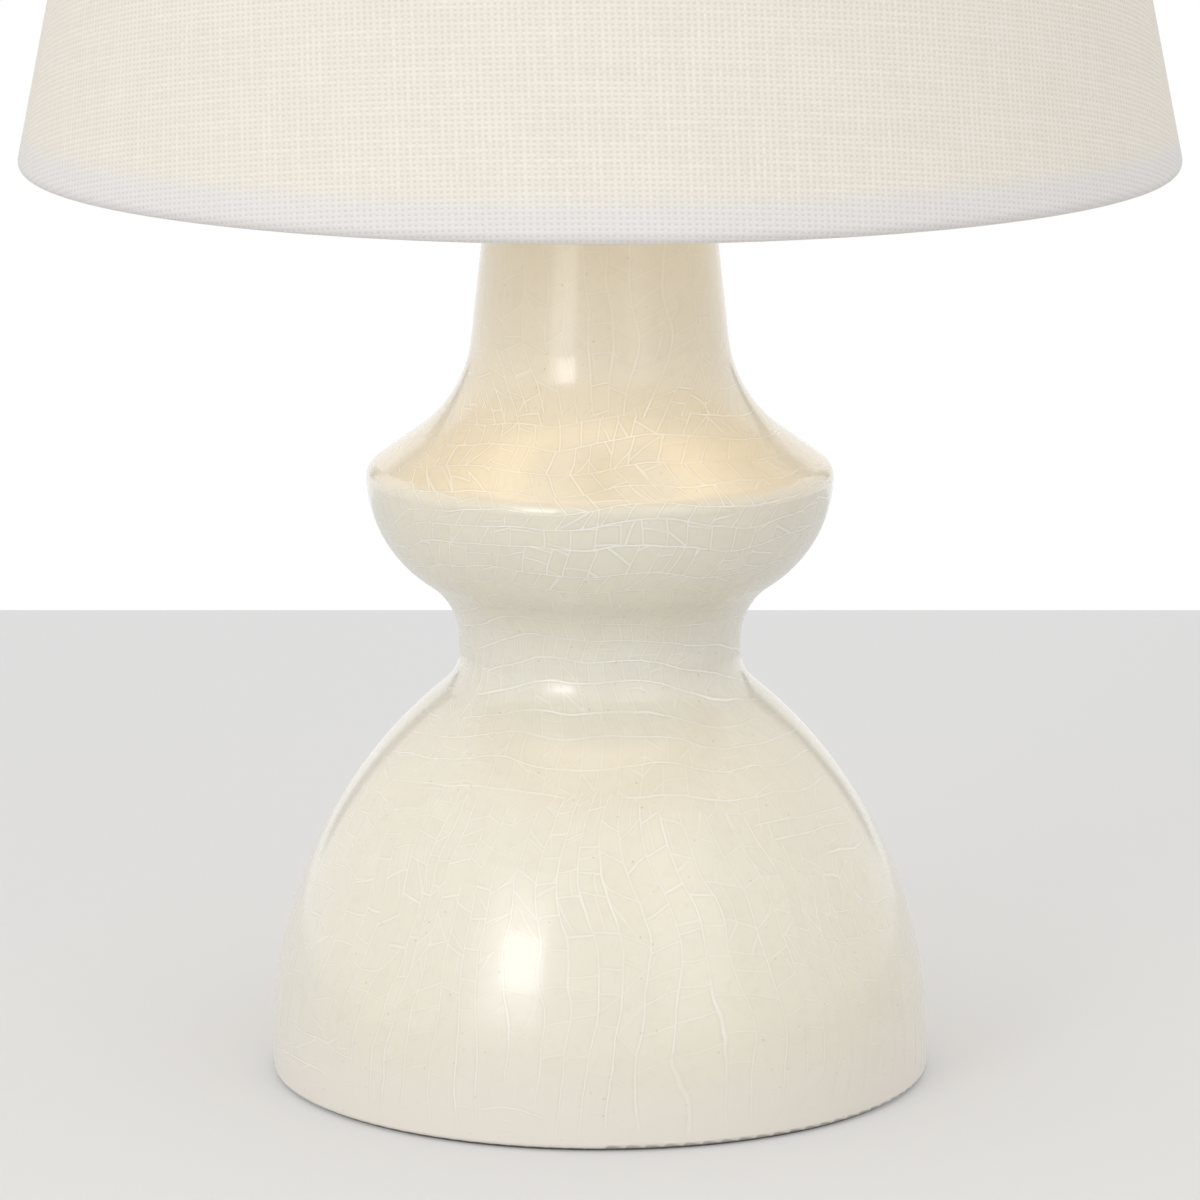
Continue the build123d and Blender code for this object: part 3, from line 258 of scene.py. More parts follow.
def crackle_glaze():
    """Ivory stoneware glaze with a fine net of cracks under a clear glossy skin."""
    skin = {"Coat_Weight": 0.9, "Coat_Roughness": 0.13, "Coat_IOR": 1.5}
    glaze = Finish("crackle_glaze", Specular_IOR_Level=0.4, **skin)
    place = glaze.place()
    x, y, z = glaze.parts(place)
    centre = (-0.5, -0.5, -0.5)
    bend = glaze.parts(place.noise(15.0, 1.0, out=1).moved(centre))
    curl = glaze.parts(place.noise(46.0, 1.0, out=1).moved(centre))
    wander = glaze.parts(place.noise(190.0, 1.0, out=1).moved(centre))
    # Places on the surface: along the outline from the foot up, and round the body
    stops = [(height / BODY_HEIGHT, run / BODY_WHOLE_RUN) for height, run in BODY_RUN]
    outline = glaze.start.put("ValToRGB", {"stops": stops}, {"Fac": z / BODY_HEIGHT})
    span = DOME_SPAN - (DOME_SPAN - NECK_SPAN) * z.rise(*SPAN_CHANGE)
    girth = x.maths("ARCTAN2", x, 0 - y) * span
    reach = (x * x + y * y) ** 0.5 / span
    up = outline * BODY_WHOLE_RUN + bend[0] * 0.025 + curl[0] * 0.0075 + wander[0] * 0.0006
    round_about = girth + bend[1] * 0.023 + curl[1] * 0.0072 + wander[1] * 0.0006
    # Long cracks run round the shoulder, collar and waist, and up the neck and the side of the dome
    level, level_tile = crack_lines(glaze, up, round_about, LEVEL_PITCHES, (1.0, reach))
    steep, steep_tile = crack_lines(glaze, round_about + 0.4, up, STEEP_PITCHES, (reach, 1.0))
    patches = place.noise(34.0, 2.0)
    thin = place.noise(75.0, 2.0)
    upright_part = (1 - z.rise(*DOME_CROWN)).most(z.rise(*NECK_FOOT))
    on_steep = (place.noise(24.0, 1.0) + upright_part * 0.3).rise(0.645, 0.655)
    on_collar = z.rise(*COLLAR)
    above_foot = z.rise(*FOOT_EDGE)
    rising = z.rise(*DOME_SIDE) * (1 - z.rise(*NECK_TOP) * 0.6)

    def net(edges, rungs, ties, narrow, wide):
        """Cracks of one ladder, from a narrow full mark to a wide faint one."""
        long_line, rung, tie = (1 - edge.rise(narrow, wide) for edge in edges)
        worn = 0.45 + 0.55 * thin.rise(0.36, 0.58)
        rung = rung * rungs * (0.45 + 0.55 * patches.rise(0.36, 0.55))
        return (long_line * worn).most(rung).most(tie * ties * thin.rise(0.36, 0.56))

    def both(narrow, wide):
        """Cracks of the two ladders, fainter on the dome's side and the neck."""
        flat = net(level, 0.5 + 0.4 * on_collar, 0.4 + 0.35 * on_collar, narrow, wide) * (1 - on_steep)
        upright = net(steep, 0.25 + 0.6 * rising, 0.55 * rising, narrow, wide) * on_steep
        on_dome = 0.66 + 0.34 * z.rise(*SHOULDER)
        on_neck = 1 - 0.60 * z.rise(*NECK)
        return (flat + upright) * above_foot * on_dome * on_neck

    crackle = both(0.00007, 0.00025)
    # Painted shade: a wider faint band round each crack, darkened in the colour below to stand for the shadow
    # beside the raised lines; the bump also sinks it as a shallow groove
    beside = both(0.0002, 0.0006)

    cloudy = place.noise(16.0, 3.0, 0.55)
    mottle = place.noise(420.0, 3.0, 0.6)
    body = glaze.mixed(cloudy.rise(0.3, 0.7), rgb(232, 228, 213), rgb(235, 229, 210))
    tile = level_tile * (1 - on_steep) + steep_tile * on_steep
    body = glaze.mixed(tile * 0.30 * above_foot, body, rgb(227, 221, 205))
    body = glaze.mixed(mottle.rise(0.45, 0.75) * 0.25, body, rgb(223, 213, 195))
    foot_band = 1 - z.rise(*FOOT_BAND)
    body = glaze.mixed(foot_band * 0.7, body, rgb(238, 231, 223))
    # Painted shade beside the cracks
    body = glaze.mixed(beside * 0.24, body, rgb(200, 190, 171))
    body = glaze.mixed(crackle * 0.88, body, rgb(252, 251, 243))
    grit = place.moved(place.noise(300.0, 0.0, out=1).times((0.002, 0.002, 0.002)))
    grain = grit.cells(SPECK_CELLS)
    picked = glaze.parts(grit.cells(SPECK_CELLS, out="Color"))[1]
    speck = (1 - grain.rise(0.02, 0.12)) * picked.rise(0.45, 0.62)
    body = glaze.mixed(speck * 0.42, body, rgb(180, 148, 118))
    glaze.set(Base_Color=body, Roughness=0.30 - 0.08 * crackle)
    glaze.bump(crackle * 0.7 + curl[0] * 0.9 - beside * 0.3, 0.00014, 0.7)
    return glaze.material


def weave(cloth):
    """Plain weave on the flat cut: how high the thread on top lies, the gaps, and the thread's own shade."""
    u, v, _ = cloth.parts(cloth.cloth_place())
    spot = cloth.joined(u, v, 0.0)
    stray = spot.noise(700.0, 1.0, out=1).moved((-0.5, -0.5, -0.5)).times((0.00022, 0.00022, 0.0))
    u, v, _ = cloth.parts(spot.moved(stray))
    across = (u + v * CLOTH_SKEW) / WARP_PITCH
    along = v / WEFT_PITCH
    warp = across.maths("ROUND", across)
    weft = along.maths("ROUND", along)
    slub_warp = cloth.joined(warp * 3.7, v * 60.0, 0.0).noise(1.0, 2.0)
    slub_weft = cloth.joined(u * 60.0, weft * 3.7, 5.0).noise(1.0, 2.0)
    from_warp = abs(across - warp) / (0.32 + 0.08 * slub_warp)
    from_weft = abs(along - weft) / (0.36 + 0.08 * slub_weft)
    turn = (warp + weft) * math.pi
    sway_warp = turn.maths("COSINE", (along - weft + warp + weft) * math.pi)
    sway_weft = turn.maths("COSINE", (across - warp + warp + weft) * math.pi)
    round_warp = 1 - (from_warp * from_warp).least(1.0)
    round_weft = 1 - (from_weft * from_weft).least(1.0)
    high_warp = round_warp * (0.72 + 0.28 * sway_warp)
    high_weft = round_weft * (0.72 - 0.28 * sway_weft)
    height = high_warp.most(high_weft)
    gap = 1 - round_warp.most(round_weft).rise(0.0, 0.55)
    thread = cloth.mixed(high_weft.maths("GREATER_THAN", high_weft, high_warp), slub_warp, slub_weft)
    return height, gap, cloth.parts(thread)[0]


def linen():
    """Coarse off-white linen with a painted warm glow that stands for the lamp behind it, painted shade in
    the low parts and gaps of the weave, and a cooler painted colour and weaker glow on the double hems.
    """
    cloth = Finish("linen", Roughness=0.9, Specular_IOR_Level=0.15, Sheen_Weight=0.05, Sheen_Roughness=0.5)
    height, gap, thread = weave(cloth)
    z = cloth.parts(cloth.place())[2]
    hem = (1 - z.rise(SHADE_BOTTOM + 0.0052, SHADE_BOTTOM + 0.0096)).most(
        z.rise(SHADE_BOTTOM + SHADE_HEIGHT - 0.0096, SHADE_BOTTOM + SHADE_HEIGHT - 0.0052)
    )
    fibre = cloth.cloth_place().noise(2600.0, 2.0, 0.6)
    yarn_with_painted_shade = cloth.mixed(thread.rise(0.3, 0.7), rgb(216, 211, 201), rgb(222, 217, 208))
    # Painted shade: darker where the threads dip low in the weave
    yarn_with_painted_shade = cloth.mixed(0.35 - 0.35 * height.rise(0.2, 0.9), yarn_with_painted_shade, rgb(204, 197, 186))
    # Painted shade in the gaps between threads
    yarn_with_painted_shade = cloth.mixed(gap * 0.30, yarn_with_painted_shade, rgb(190, 172, 162))
    # Hems: a cooler copy of the linen's colour, painted where the lamp's glow doesn't come through the double
    # layer, with painted shade in its gaps
    painted_cool_hem = cloth.mixed(gap * 0.5, rgb(216, 215, 215), rgb(184, 176, 184))
    yarn_with_painted_shade = cloth.mixed(hem * 0.7, yarn_with_painted_shade, painted_cool_hem)
    cloth.set(Base_Color=cloth.mixed(fibre.rise(0.35, 0.75) * 0.12, yarn_with_painted_shade, rgb(240, 238, 232)))
    # Painted glow: emission stands for the lamp's warm light coming through the cloth, a little darker and
    # pinker in the gaps, and weaker and cooler on the hems
    glow = cloth.mixed(gap * 0.35, rgb(109, 105, 97), rgb(106, 91, 82))
    cloth.set(Emission_Color=cloth.mixed(hem, glow, rgb(97, 94, 92)), Emission_Strength=1.0)
    cloth.bump(height * 0.9 + fibre * 0.12, 0.00020, 0.55)
    return cloth.material


def white_liner():
    """Matt white film inside the shade, with a painted warm glow on its upper part that stands for the lamp's
    light.
    """
    film = Finish("white_liner", Roughness=0.6, Emission_Strength=1.1)
    place = film.place()
    z = film.parts(place)[2]
    haze = place.noise(60.0, 3.0)
    film.set(Base_Color=film.mixed(haze, rgb(226, 218, 200), rgb(234, 227, 212)))
    # Painted glow: the liner's upper part gives warm emission that stands for the lamp's light, with none
    # near its foot
    near = z.rise(SHADE_BOTTOM + 0.035, SHADE_BOTTOM + 0.115)
    film.set(Emission_Color=film.mixed(near, rgb(0, 0, 0), rgb(255, 229, 188)))
    film.bump(haze, 0.00005)
    return film.material


def felt():
    """Grey felt of short tangled fibres."""
    pad = Finish("felt", Roughness=0.95, Specular_IOR_Level=0.1, Sheen_Weight=0.4, Sheen_Roughness=0.6)
    place = pad.place()
    tangle = place.moved(place.noise(500.0, 2.0, out=1).times((0.004, 0.004, 0.004))).noise(1800.0, 4.0, 0.7)
    patches = place.noise(90.0, 2.0)
    wool = pad.mixed(tangle.rise(0.35, 0.65), rgb(112, 105, 101), rgb(146, 138, 132))
    pad.set(Base_Color=pad.mixed(patches * 0.3, wool, rgb(124, 117, 113)))
    pad.bump(tangle, 0.0004, 0.8)
    return pad.material


def satin_brass():
    """Lacquered brass with fine turning lines and a little uneven tone."""
    brass = Finish("brass", Metallic=1.0, Coat_Weight=0.25, Coat_Roughness=0.2)
    place = brass.place()
    lines = place.times((220.0, 220.0, 5200.0)).noise(1.0, 2.0)
    tone = place.noise(70.0, 3.0)
    metal = brass.mixed(tone.rise(0.3, 0.7), rgb(214, 176, 106), rgb(226, 190, 122))
    brass.set(Base_Color=brass.mixed(tone.rise(0.62, 0.8) * 0.4, metal, rgb(176, 136, 78)))
    brass.set(Roughness=0.24 + 0.14 * lines + 0.06 * tone)
    brass.bump(lines, 0.00002, 0.4)
    return brass.material


def zinc_steel():
    """Zinc-plated steel with a faint spangle."""
    steel = Finish("zinc_steel", Metallic=1.0)
    place = steel.place()
    spangle = steel.parts(place.cells(700.0, out="Color"))[0]
    tone = place.noise(120.0, 3.0)
    steel.set(Base_Color=steel.mixed(spangle * 0.5 + tone * 0.4, rgb(176, 179, 183), rgb(214, 216, 218)))
    steel.set(Roughness=0.30 + 0.16 * tone)
    steel.bump(tone + spangle * 0.3, 0.00003, 0.5)
    return steel.material


def aluminium():
    """Machined aluminium, bead-blasted."""
    metal = Finish("aluminium", Metallic=1.0)
    place = metal.place()
    beads = place.noise(3200.0, 2.0)
    tone = place.noise(90.0, 2.0)
    metal.set(Base_Color=metal.mixed(tone, rgb(200, 202, 204), rgb(222, 223, 224)))
    metal.set(Roughness=0.38 + 0.15 * beads)
    metal.bump(beads, 0.00003, 0.5)
    return metal.material


def moulded(name, dark, light, roughness, grain=2400.0, **fixed):
    """Moulded plastic or rubber with a fine spark-eroded grain."""
    mould = Finish(name, **fixed)
    place = mould.place()
    pits = place.noise(grain, 2.0, 0.6)
    tone = place.noise(80.0, 3.0)
    mould.set(Base_Color=mould.mixed((pits * 0.5 + tone * 0.5).rise(0.35, 0.65), dark, light))
    mould.set(Roughness=roughness + 0.14 * pits)
    mould.bump(pits, 0.00004, 0.5)
    return mould.material


def circuit_board():
    """Green solder mask over copper tracks."""
    board = Finish("circuit_board", Specular_IOR_Level=0.5)
    place = board.place()
    x, y, _ = board.parts(place)
    lanes = (x * 520.0).maths("SINE", x * 520.0) * (y * 430.0).maths("SINE", y * 430.0)
    tracks = (lanes + place.noise(160.0, 1.0) * 0.8 - 0.4).rise(0.15, 0.25)
    board.set(Base_Color=board.mixed(tracks, rgb(22, 88, 52), rgb(44, 124, 74)))
    board.set(Roughness=0.34 + 0.1 * place.noise(900.0))
    board.bump(tracks, 0.00004, 0.6)
    return board.material


def cell_wrap():
    """Shrink sleeve of the cells, with faint wrinkles at the ends."""
    wrap = Finish("cell_wrap", Coat_Weight=0.3, Coat_Roughness=0.15)
    place = wrap.place()
    x, _, _ = wrap.parts(place)
    ends = abs(x).rise(0.027, 0.033)
    wrinkles = place.times((300.0, 1400.0, 1400.0)).noise(1.0, 2.0)
    wrap.set(Base_Color=wrap.mixed(place.noise(60.0), rgb(44, 110, 168), rgb(56, 126, 184)))
    wrap.set(Roughness=0.32 + 0.15 * wrinkles)
    wrap.bump(wrinkles * ends, 0.0002, 0.6)
    return wrap.material


def opal_globe():
    """Opal plastic lit from inside, brightest where it bellies and dimmer at its foot and crown."""
    opal = Finish("opal", Roughness=0.32, Emission_Strength=1.0)
    place = opal.place()
    z = opal.parts(place)[2]
    low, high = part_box("diffuser_globe")
    middle = z.rise(low.z, low.z + 0.018) * (1 - z.rise(high.z - 0.012, high.z) * 0.45)
    haze = place.noise(50.0, 2.0)
    opal.set(Base_Color=opal.mixed(haze, rgb(132, 127, 118), rgb(142, 137, 128)))
    opal.set(Emission_Color=opal.mixed(middle, rgb(186, 144, 98), rgb(222, 202, 168)))
    return opal.material


def charge_lens():
    """Frosted light pipe with a soft green charge light behind it."""
    lens = Finish("clear_plastic", Roughness=0.35, Emission_Strength=0.6)
    frost = lens.place().noise(1500.0, 2.0)
    lens.set(Base_Color=lens.mixed(frost, rgb(206, 214, 208), rgb(226, 232, 228)))
    lens.set(Emission_Color=lens.mixed(frost, rgb(92, 190, 120), rgb(120, 214, 146)))
    lens.bump(frost, 0.00003, 0.4)
    return lens.material


def lamp_chips():
    """Yellow phosphor domes of the lamp board."""
    chips = Finish("phosphor", Roughness=0.4, Emission_Strength=1.5)
    grain = chips.place().noise(3000.0, 2.0)
    chips.set(Base_Color=chips.mixed(grain, rgb(238, 196, 70), rgb(246, 214, 104)))
    chips.set(Emission_Color=chips.mixed(grain, rgb(250, 206, 120), rgb(255, 220, 150)))
    return chips.material


FINISHES = {
    "crackle_glaze": crackle_glaze(),
    "linen": linen(),
    "white_liner": white_liner(),
    "felt": felt(),
    "brass": satin_brass(),
    "zinc_steel": zinc_steel(),
    "aluminium": aluminium(),
    "black_plastic": moulded("black_plastic", rgb(30, 30, 31), rgb(46, 46, 48), 0.42),
    "ivory_plastic": moulded("ivory_plastic", rgb(222, 214, 196), rgb(230, 223, 206), 0.34),
    "clear_plastic": charge_lens(),
    "cell_wrap": cell_wrap(),
    "circuit_board": circuit_board(),
    "white_board": moulded("white_board", rgb(232, 232, 228), rgb(242, 242, 238), 0.4),
    "phosphor": lamp_chips(),
    "opal": opal_globe(),
    "lead_sleeve": moulded("lead_sleeve", rgb(214, 210, 200), rgb(226, 222, 212), 0.5, 900.0),
    "black_rubber": moulded("black_rubber", rgb(26, 26, 26), rgb(40, 40, 40), 0.65, 1600.0),
}
for subpart in frame["record"]["subparts"]:
    nodes[subpart["node"]].material_slots[0].material = FINISHES[subpart["material_slot"]]


# Modelling

def fresh(name):
    """Names the object that was just added and leaves it alone in the selection."""
    piece = bpy.context.object
    piece.name = name
    piece.data.name = name
    return piece


def begin_point(name, radius, height):
    """A new piece that is one point of a half section, in edit mode."""
    bpy.ops.object.select_all(action="DESELECT")
    bpy.ops.mesh.primitive_plane_add(size=0.001, location=(radius, 0, height))
    piece = fresh(name)
    bpy.ops.object.transform_apply(location=True, rotation=True, scale=True)
    bpy.ops.object.mode_set(mode="EDIT")
    bpy.ops.mesh.select_all(action="SELECT")
    bpy.ops.mesh.merge(type="CENTER")
    return piece


def draw_to(start, end, steps=1):
    """Extrudes the last point in a straight line, in steps."""
    step = ((end[0] - start[0]) / steps, 0, (end[1] - start[1]) / steps)
    for _ in range(steps):
        bpy.ops.mesh.extrude_region_move(TRANSFORM_OT_translate={"value": step})


def draw_round(centre, angle, steps):
    """Spins the last point about a centre of the half section."""
    bpy.ops.mesh.spin(steps=steps, angle=angle, center=(centre[0], 0, centre[1]), axis=(0, 1, 0))


def section_points(piece):
    """Points of a drawn half section in order, from its first point to its last."""
    bpy.ops.object.mode_set(mode="OBJECT")
    beside = {vertex.index: [] for vertex in piece.data.vertices}
    for edge in piece.data.edges:
        one, other = edge.vertices
        beside[one].append(other)
        beside[other].append(one)
    order = [0]
    while len(order) < len(beside):
        order.append(next(index for index in beside[order[-1]] if index not in order))
    bpy.ops.object.mode_set(mode="EDIT")
    return [(piece.data.vertices[index].co.x, piece.data.vertices[index].co.z) for index in order]


def turn(steps, angle=2 * math.pi):
    """Spins the whole half section about the lamp's axis."""
    bpy.ops.mesh.select_all(action="SELECT")
    bpy.ops.mesh.spin(steps=steps, angle=angle, center=(0, 0, 0), axis=(0, 0, 1))
    bpy.ops.mesh.select_all(action="SELECT")
    bpy.ops.mesh.remove_doubles(threshold=0.00001)
    bpy.ops.mesh.normals_make_consistent(inside=False)
    bpy.ops.object.mode_set(mode="OBJECT")


def apply_modifier(piece, kind, **settings):
    """Adds a modifier, sets it and applies it."""
    modifier = piece.modifiers.new(kind.title(), kind)
    for name, value in settings.items():
        setattr(modifier, name, value)
    bpy.context.view_layer.objects.active = piece
    bpy.ops.object.modifier_apply(modifier=modifier.name)


# Directions along the shade's slant and out of its face, in the half section
LEAN = math.atan2(SHADE_BOTTOM_RADIUS - SHADE_TOP_RADIUS, SHADE_HEIGHT)
SLANT = Vector((-math.sin(LEAN), math.cos(LEAN)))
OUT = Vector((math.cos(LEAN), math.sin(LEAN)))
APEX_RUN = SHADE_BOTTOM_RADIUS / math.sin(LEAN)
LOWER_ROLL = ROLL_RADIUS * (1 + OUT.y) / OUT.x
UPPER_ROLL = (SHADE_HEIGHT - ROLL_RADIUS * (1 - OUT.y)) / OUT.x


def shade_at(along, depth):
    """Point of the shade's half section: along the slant, and in from its face."""
    return Vector((SHADE_BOTTOM_RADIUS, SHADE_BOTTOM)) + SLANT * along - OUT * depth


def lay_out_cloth(piece, profile, runs):
    """Gives each corner its place on the flat cut, an arched strip whose middle is at the front."""
    tree = KDTree(len(profile))
    for index, (radius, height) in enumerate(profile):
        tree.insert((radius, 0, height), index)
    tree.balance()
    layer = piece.data.uv_layers.new(name="cloth")
    spots = [vertex.co for vertex in piece.data.vertices]
    run_at = [runs[tree.find((math.hypot(p.x, p.y), 0, p.z))[1]] for p in spots]
    for face in piece.data.polygons:
        middle = math.atan2(face.center.x, -face.center.y)
        for loop in face.loop_indices:
            vertex = piece.data.loops[loop].vertex_index
            turned = math.atan2(spots[vertex].x, -spots[vertex].y)
            turned += 2 * math.pi * round((middle - turned) / (2 * math.pi))
            spread = turned * math.sin(LEAN)
            reach = APEX_RUN - run_at[vertex]
            layer.data[loop].uv = (reach * math.sin(spread), -reach * math.cos(spread))


def shade_linen():
    """Linen cover: one cone of cloth rolled round both ring wires, its hems turned in behind the liner."""
    cloth_middle = CLOTH_THICKNESS / 2
    hem_depth = CLOTH_THICKNESS + LINER_THICKNESS + cloth_middle
    lower_ring = shade_at(LOWER_ROLL, ROLL_RADIUS)
    upper_ring = shade_at(UPPER_ROLL, ROLL_RADIUS)
    roll = ROLL_RADIUS - cloth_middle
    wrap = math.radians(250)
    hem_top = shade_at(LOWER_ROLL + HEM_HEIGHT, hem_depth)
    hem_foot = shade_at(LOWER_ROLL + 0.0034, hem_depth)
    roll_start = lower_ring + (OUT * math.cos(wrap) - SLANT * math.sin(wrap)) * roll
    face_foot = shade_at(LOWER_ROLL, cloth_middle)
    face_top = shade_at(UPPER_ROLL, cloth_middle)
    roll_end = upper_ring + (OUT * math.cos(wrap) + SLANT * math.sin(wrap)) * roll
    upper_hem_top = shade_at(UPPER_ROLL - 0.0034, hem_depth)
    upper_hem_foot = shade_at(UPPER_ROLL - HEM_HEIGHT, hem_depth)

    piece = begin_point("shade_linen", *hem_top)
    draw_to(hem_top, hem_foot, 2)
    draw_to(hem_foot, roll_start)
    draw_round(lower_ring, wrap, 20)
    draw_to(face_foot, face_top, 44)
    draw_round(upper_ring, wrap, 20)
    draw_to(roll_end, upper_hem_top)
    draw_to(upper_hem_top, upper_hem_foot, 2)
    profile = section_points(piece)
    runs = [0.0]
    for one, other in zip(profile, profile[1:]):
        runs.append(runs[-1] + math.dist(one, other))
    start = runs[min(range(len(profile)), key=lambda i: math.dist(profile[i], face_foot))]
    runs = [LOWER_ROLL + run - start for run in runs]
    turn(240)
    lay_out_cloth(piece, profile, runs)
    return piece, APEX_RUN - runs[0], APEX_RUN - runs[-1]


def finish_piece(piece, body, slot, *stands_for):
    """Smooth shading, the finish, the body it rides on and the solid it stands for."""
    bpy.ops.object.select_all(action="DESELECT")
    piece.select_set(True)
    bpy.context.view_layer.objects.active = piece
    bpy.ops.object.shade_smooth_by_angle(angle=math.radians(40))
    piece.data.materials.clear()
    piece.data.materials.append(FINISHES[slot])
    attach(piece, body)
    if stands_for:
        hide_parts(*stands_for)
    return piece


def seam_lap():
    """Glued lap of the linen down the back of the shade, from edge to edge."""
    foot = shade_at(LOWER_ROLL, -CLOTH_THICKNESS * 0.4)
    top = shade_at(UPPER_ROLL, -CLOTH_THICKNESS * 0.4)
    piece = begin_point("shade_seam_lap", *foot)
    draw_to(foot, top, 30)
    profile = section_points(piece)
    runs = [LOWER_ROLL + math.dist(foot, point) for point in profile]
    lap = SEAM_LAP_WIDTH / SHADE_BOTTOM_RADIUS
    bpy.ops.mesh.select_all(action="SELECT")
    bpy.ops.transform.rotate(value=-math.pi / 2 + lap / 2, orient_axis="Z", center_override=(0, 0, 0))
    turn(6, lap)
    lay_out_cloth(piece, profile, runs)
    return piece


linen_cover, outer_reach, inner_reach = shade_linen()
apply_modifier(linen_cover, "SOLIDIFY", thickness=CLOTH_THICKNESS * 0.9, offset=0.0, use_even_offset=True)
finish_piece(linen_cover, "shade", "linen", "shade_fabric")
lap_strip = seam_lap()
apply_modifier(lap_strip, "SOLIDIFY", thickness=CLOTH_THICKNESS * 0.9, offset=0.0)
apply_modifier(lap_strip, "BEVEL", width=0.0002, segments=2, limit_method="ANGLE")
finish_piece(lap_strip, "shade", "linen")


def foot_felt():
    """Felt disc under the foot, with a soft rounded edge."""
    bpy.ops.object.select_all(action="DESELECT")
    bpy.ops.mesh.primitive_cylinder_add(
        vertices=160, radius=FELT_RADIUS, depth=FELT_THICKNESS, location=(0, 0, FELT_THICKNESS / 2)
    )
    piece = fresh("foot_felt")
    bpy.ops.object.transform_apply(location=True, rotation=True, scale=True)
    bpy.ops.object.mode_set(mode="EDIT")
    bpy.ops.mesh.select_mode(type="FACE")
    bpy.ops.mesh.select_all(action="DESELECT")
    bpy.ops.object.mode_set(mode="OBJECT")
    for face in piece.data.polygons:
        face.select = abs(face.normal.z) > 0.9
    bpy.ops.object.mode_set(mode="EDIT")
    for inset in (0.0006, 0.0030, 0.0100, 0.0180):
        bpy.ops.mesh.inset(thickness=inset, use_even_offset=True)
    bpy.ops.mesh.select_mode(type="EDGE")
    bpy.ops.mesh.select_all(action="DESELECT")
    bpy.ops.object.mode_set(mode="OBJECT")
    for edge in piece.data.edges:
        ends = [piece.data.vertices[index].co for index in edge.vertices]
        rim = all(math.hypot(p.x, p.y) > FELT_RADIUS - 0.0001 for p in ends)
        edge.select = rim and abs(ends[0].z - ends[1].z) < 0.0001
    bpy.ops.object.mode_set(mode="EDIT")
    bpy.ops.mesh.bevel(offset=FELT_THICKNESS * 0.22, segments=3)
    bpy.ops.object.mode_set(mode="OBJECT")
    return piece


felt_disc = foot_felt()
finish_piece(felt_disc, "base", "felt", "felt_pad")

# The flat cut is part of a ring, as wide at each side of its middle as half the cone unrolls to
half_cut = math.pi * math.sin(LEAN)
2 * outer_reach * math.sin(half_cut)
outer_reach - inner_reach * math.cos(half_cut)
half_cut * (outer_reach**2 - inner_reach**2)


# Studio

def shown_rays(start):
    """1 for rays straight from the camera, and 1 for those and for rays by way of reflections and glass."""
    outputs = start.put("LightPath").socket.node.outputs
    names = ("Is Camera Ray", "Is Glossy Ray", "Is Transmission Ray")
    straight, glossy, through = (Tone(start.tree, outputs[name]) for name in names)
    return straight, straight.most(glossy).most(through)


def floor():
    """Pale grey table with white beyond it, which gives the lamp less light than it shows."""
    bpy.ops.object.select_all(action="DESELECT")
    bpy.ops.mesh.primitive_plane_add(size=12.0, location=(0, 0, 0))
    plane = fresh("floor")
    paint = bpy.data.materials.new("floor_paint")
    paint.use_nodes = True
    tree = paint.node_tree
    tree.nodes.remove(tree.nodes["Principled BSDF"])
    start = Tone(tree)
    place = start.put("TexCoord", out="Object")
    split = start.put("SeparateXYZ", (), {0: place}, out=1)
    grain = place.noise(900.0, 2.0)
    seen = shown_rays(start)[1]
    shade = FLOOR_GREY - 0.004 + 0.008 * grain
    given = shade * (FLOOR_RETURN + (1 - FLOOR_RETURN) * seen)
    grey = start.put("CombineXYZ", (), {0: shade, 1: shade, 2: shade})
    returned = start.put("CombineXYZ", (), {0: given, 1: given, 2: given})
    lit = start.put("BsdfDiffuse", (), {"Color": returned})
    even = start.put("Emission", (), {"Color": grey, "Strength": 1.06})
    white = start.put("Emission", (), {"Color": (1, 1, 1, 1), "Strength": 1.0})
    near = start.put("MixShader", (), {0: seen * 0.22, 1: lit, 2: even})
    back = split.rise(FLOOR_BACK_EDGE - 0.0005, FLOOR_BACK_EDGE + 0.0005) * seen
    whole = start.put("MixShader", (), {0: back, 1: near, 2: white})
    tree.links.new(whole.socket, tree.nodes["Material Output"].inputs["Surface"])
    plane.data.materials.append(paint)


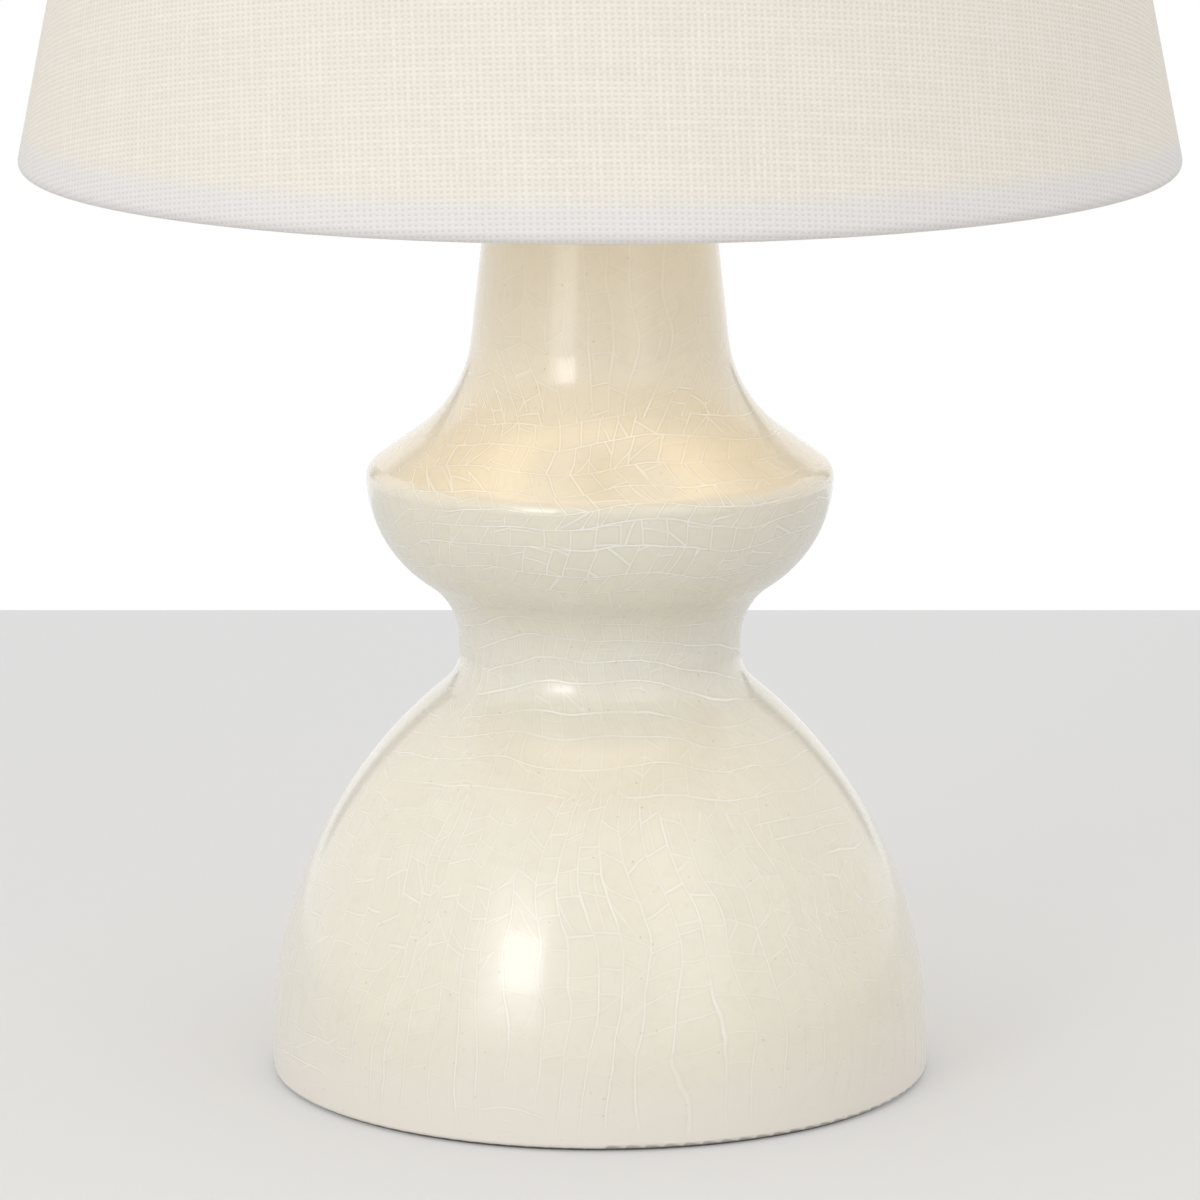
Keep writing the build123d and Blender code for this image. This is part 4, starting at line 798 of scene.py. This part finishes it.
def softbox(name, left, right, low, high, brightness, distance=1.3):
    """Softbox that faces the lamp: from left to right of the camera and from low to high, in degrees."""
    turned, raised = math.radians((left + right) / 2), math.radians((low + high) / 2)
    level = Vector((math.sin(turned), -math.cos(turned), 0))
    way = level * math.cos(raised) + Vector((0, 0, math.sin(raised)))
    light = bpy.data.lights.new(name, "AREA")
    light.shape = "RECTANGLE"
    light.size = 2 * distance * math.tan(math.radians(right - left) / 2) * math.cos(raised)
    light.size_y = 2 * distance * math.tan(math.radians(high - low) / 2)
    light.energy = brightness * math.pi * light.size * light.size_y
    box = bpy.data.objects.new(name, light)
    box.location = AIM + way * distance
    box.rotation_euler = (-way).to_track_quat("-Z", "Y").to_euler()
    bpy.context.collection.objects.link(box)


def surroundings(level, above):
    """White to the camera and in reflections, but for a gap beside the backdrop; even light from above."""
    world = bpy.data.worlds.new("studio")
    bpy.context.scene.world = world
    world.use_nodes = True
    tree = world.node_tree
    start = Tone(tree)
    seen, shown = shown_rays(start)
    way = start.put("SeparateXYZ", (), {0: start.put("TexCoord", out="Generated")}).socket.node.outputs
    aside, behind, upward = (Tone(tree, output) for output in way)
    ambient = level + (above - level) * upward.rise(0.0, 0.16)
    squarely = behind / (aside * aside + behind * behind + 0.0001) ** 0.5
    gap = squarely.rise(0.84, 0.87) * (1 - squarely.rise(0.90, 0.93)) * (1 - seen)
    backing = tree.nodes["Background"]
    backing.inputs["Color"].default_value = (1, 1, 1, 1)
    tree.links.new((shown * (1 - gap * 0.7) + (1 - shown) * ambient).socket, backing.inputs["Strength"])


floor()
# The key is brightest near its right edge, a little above the lamp's foot
softbox("key_softbox", -49, -21, 2, 42, 0.42)
softbox("key_softbox_middle", -44, -21, 5, 36, 1.15)
softbox("key_softbox_core", -38, -22, 13, 27, 3.4)
softbox("fill_softbox", 19, 50, 2, 54, 0.30)
softbox("fill_softbox_middle", 23, 43, 4, 46, 0.26)
surroundings(0.30, 0.92)

camera = bpy.data.cameras.new("camera")
camera.lens = CAMERA_LENS
camera.sensor_width = 36.0
camera.clip_end = 50.0
eye = bpy.data.objects.new("camera", camera)
eye.location = CAMERA_PLACE
eye.rotation_euler = (math.pi / 2 - CAMERA_DIP, 0, 0)
bpy.context.collection.objects.link(eye)
bpy.context.scene.camera = eye
bpy.context.scene.view_settings.view_transform = "Standard"
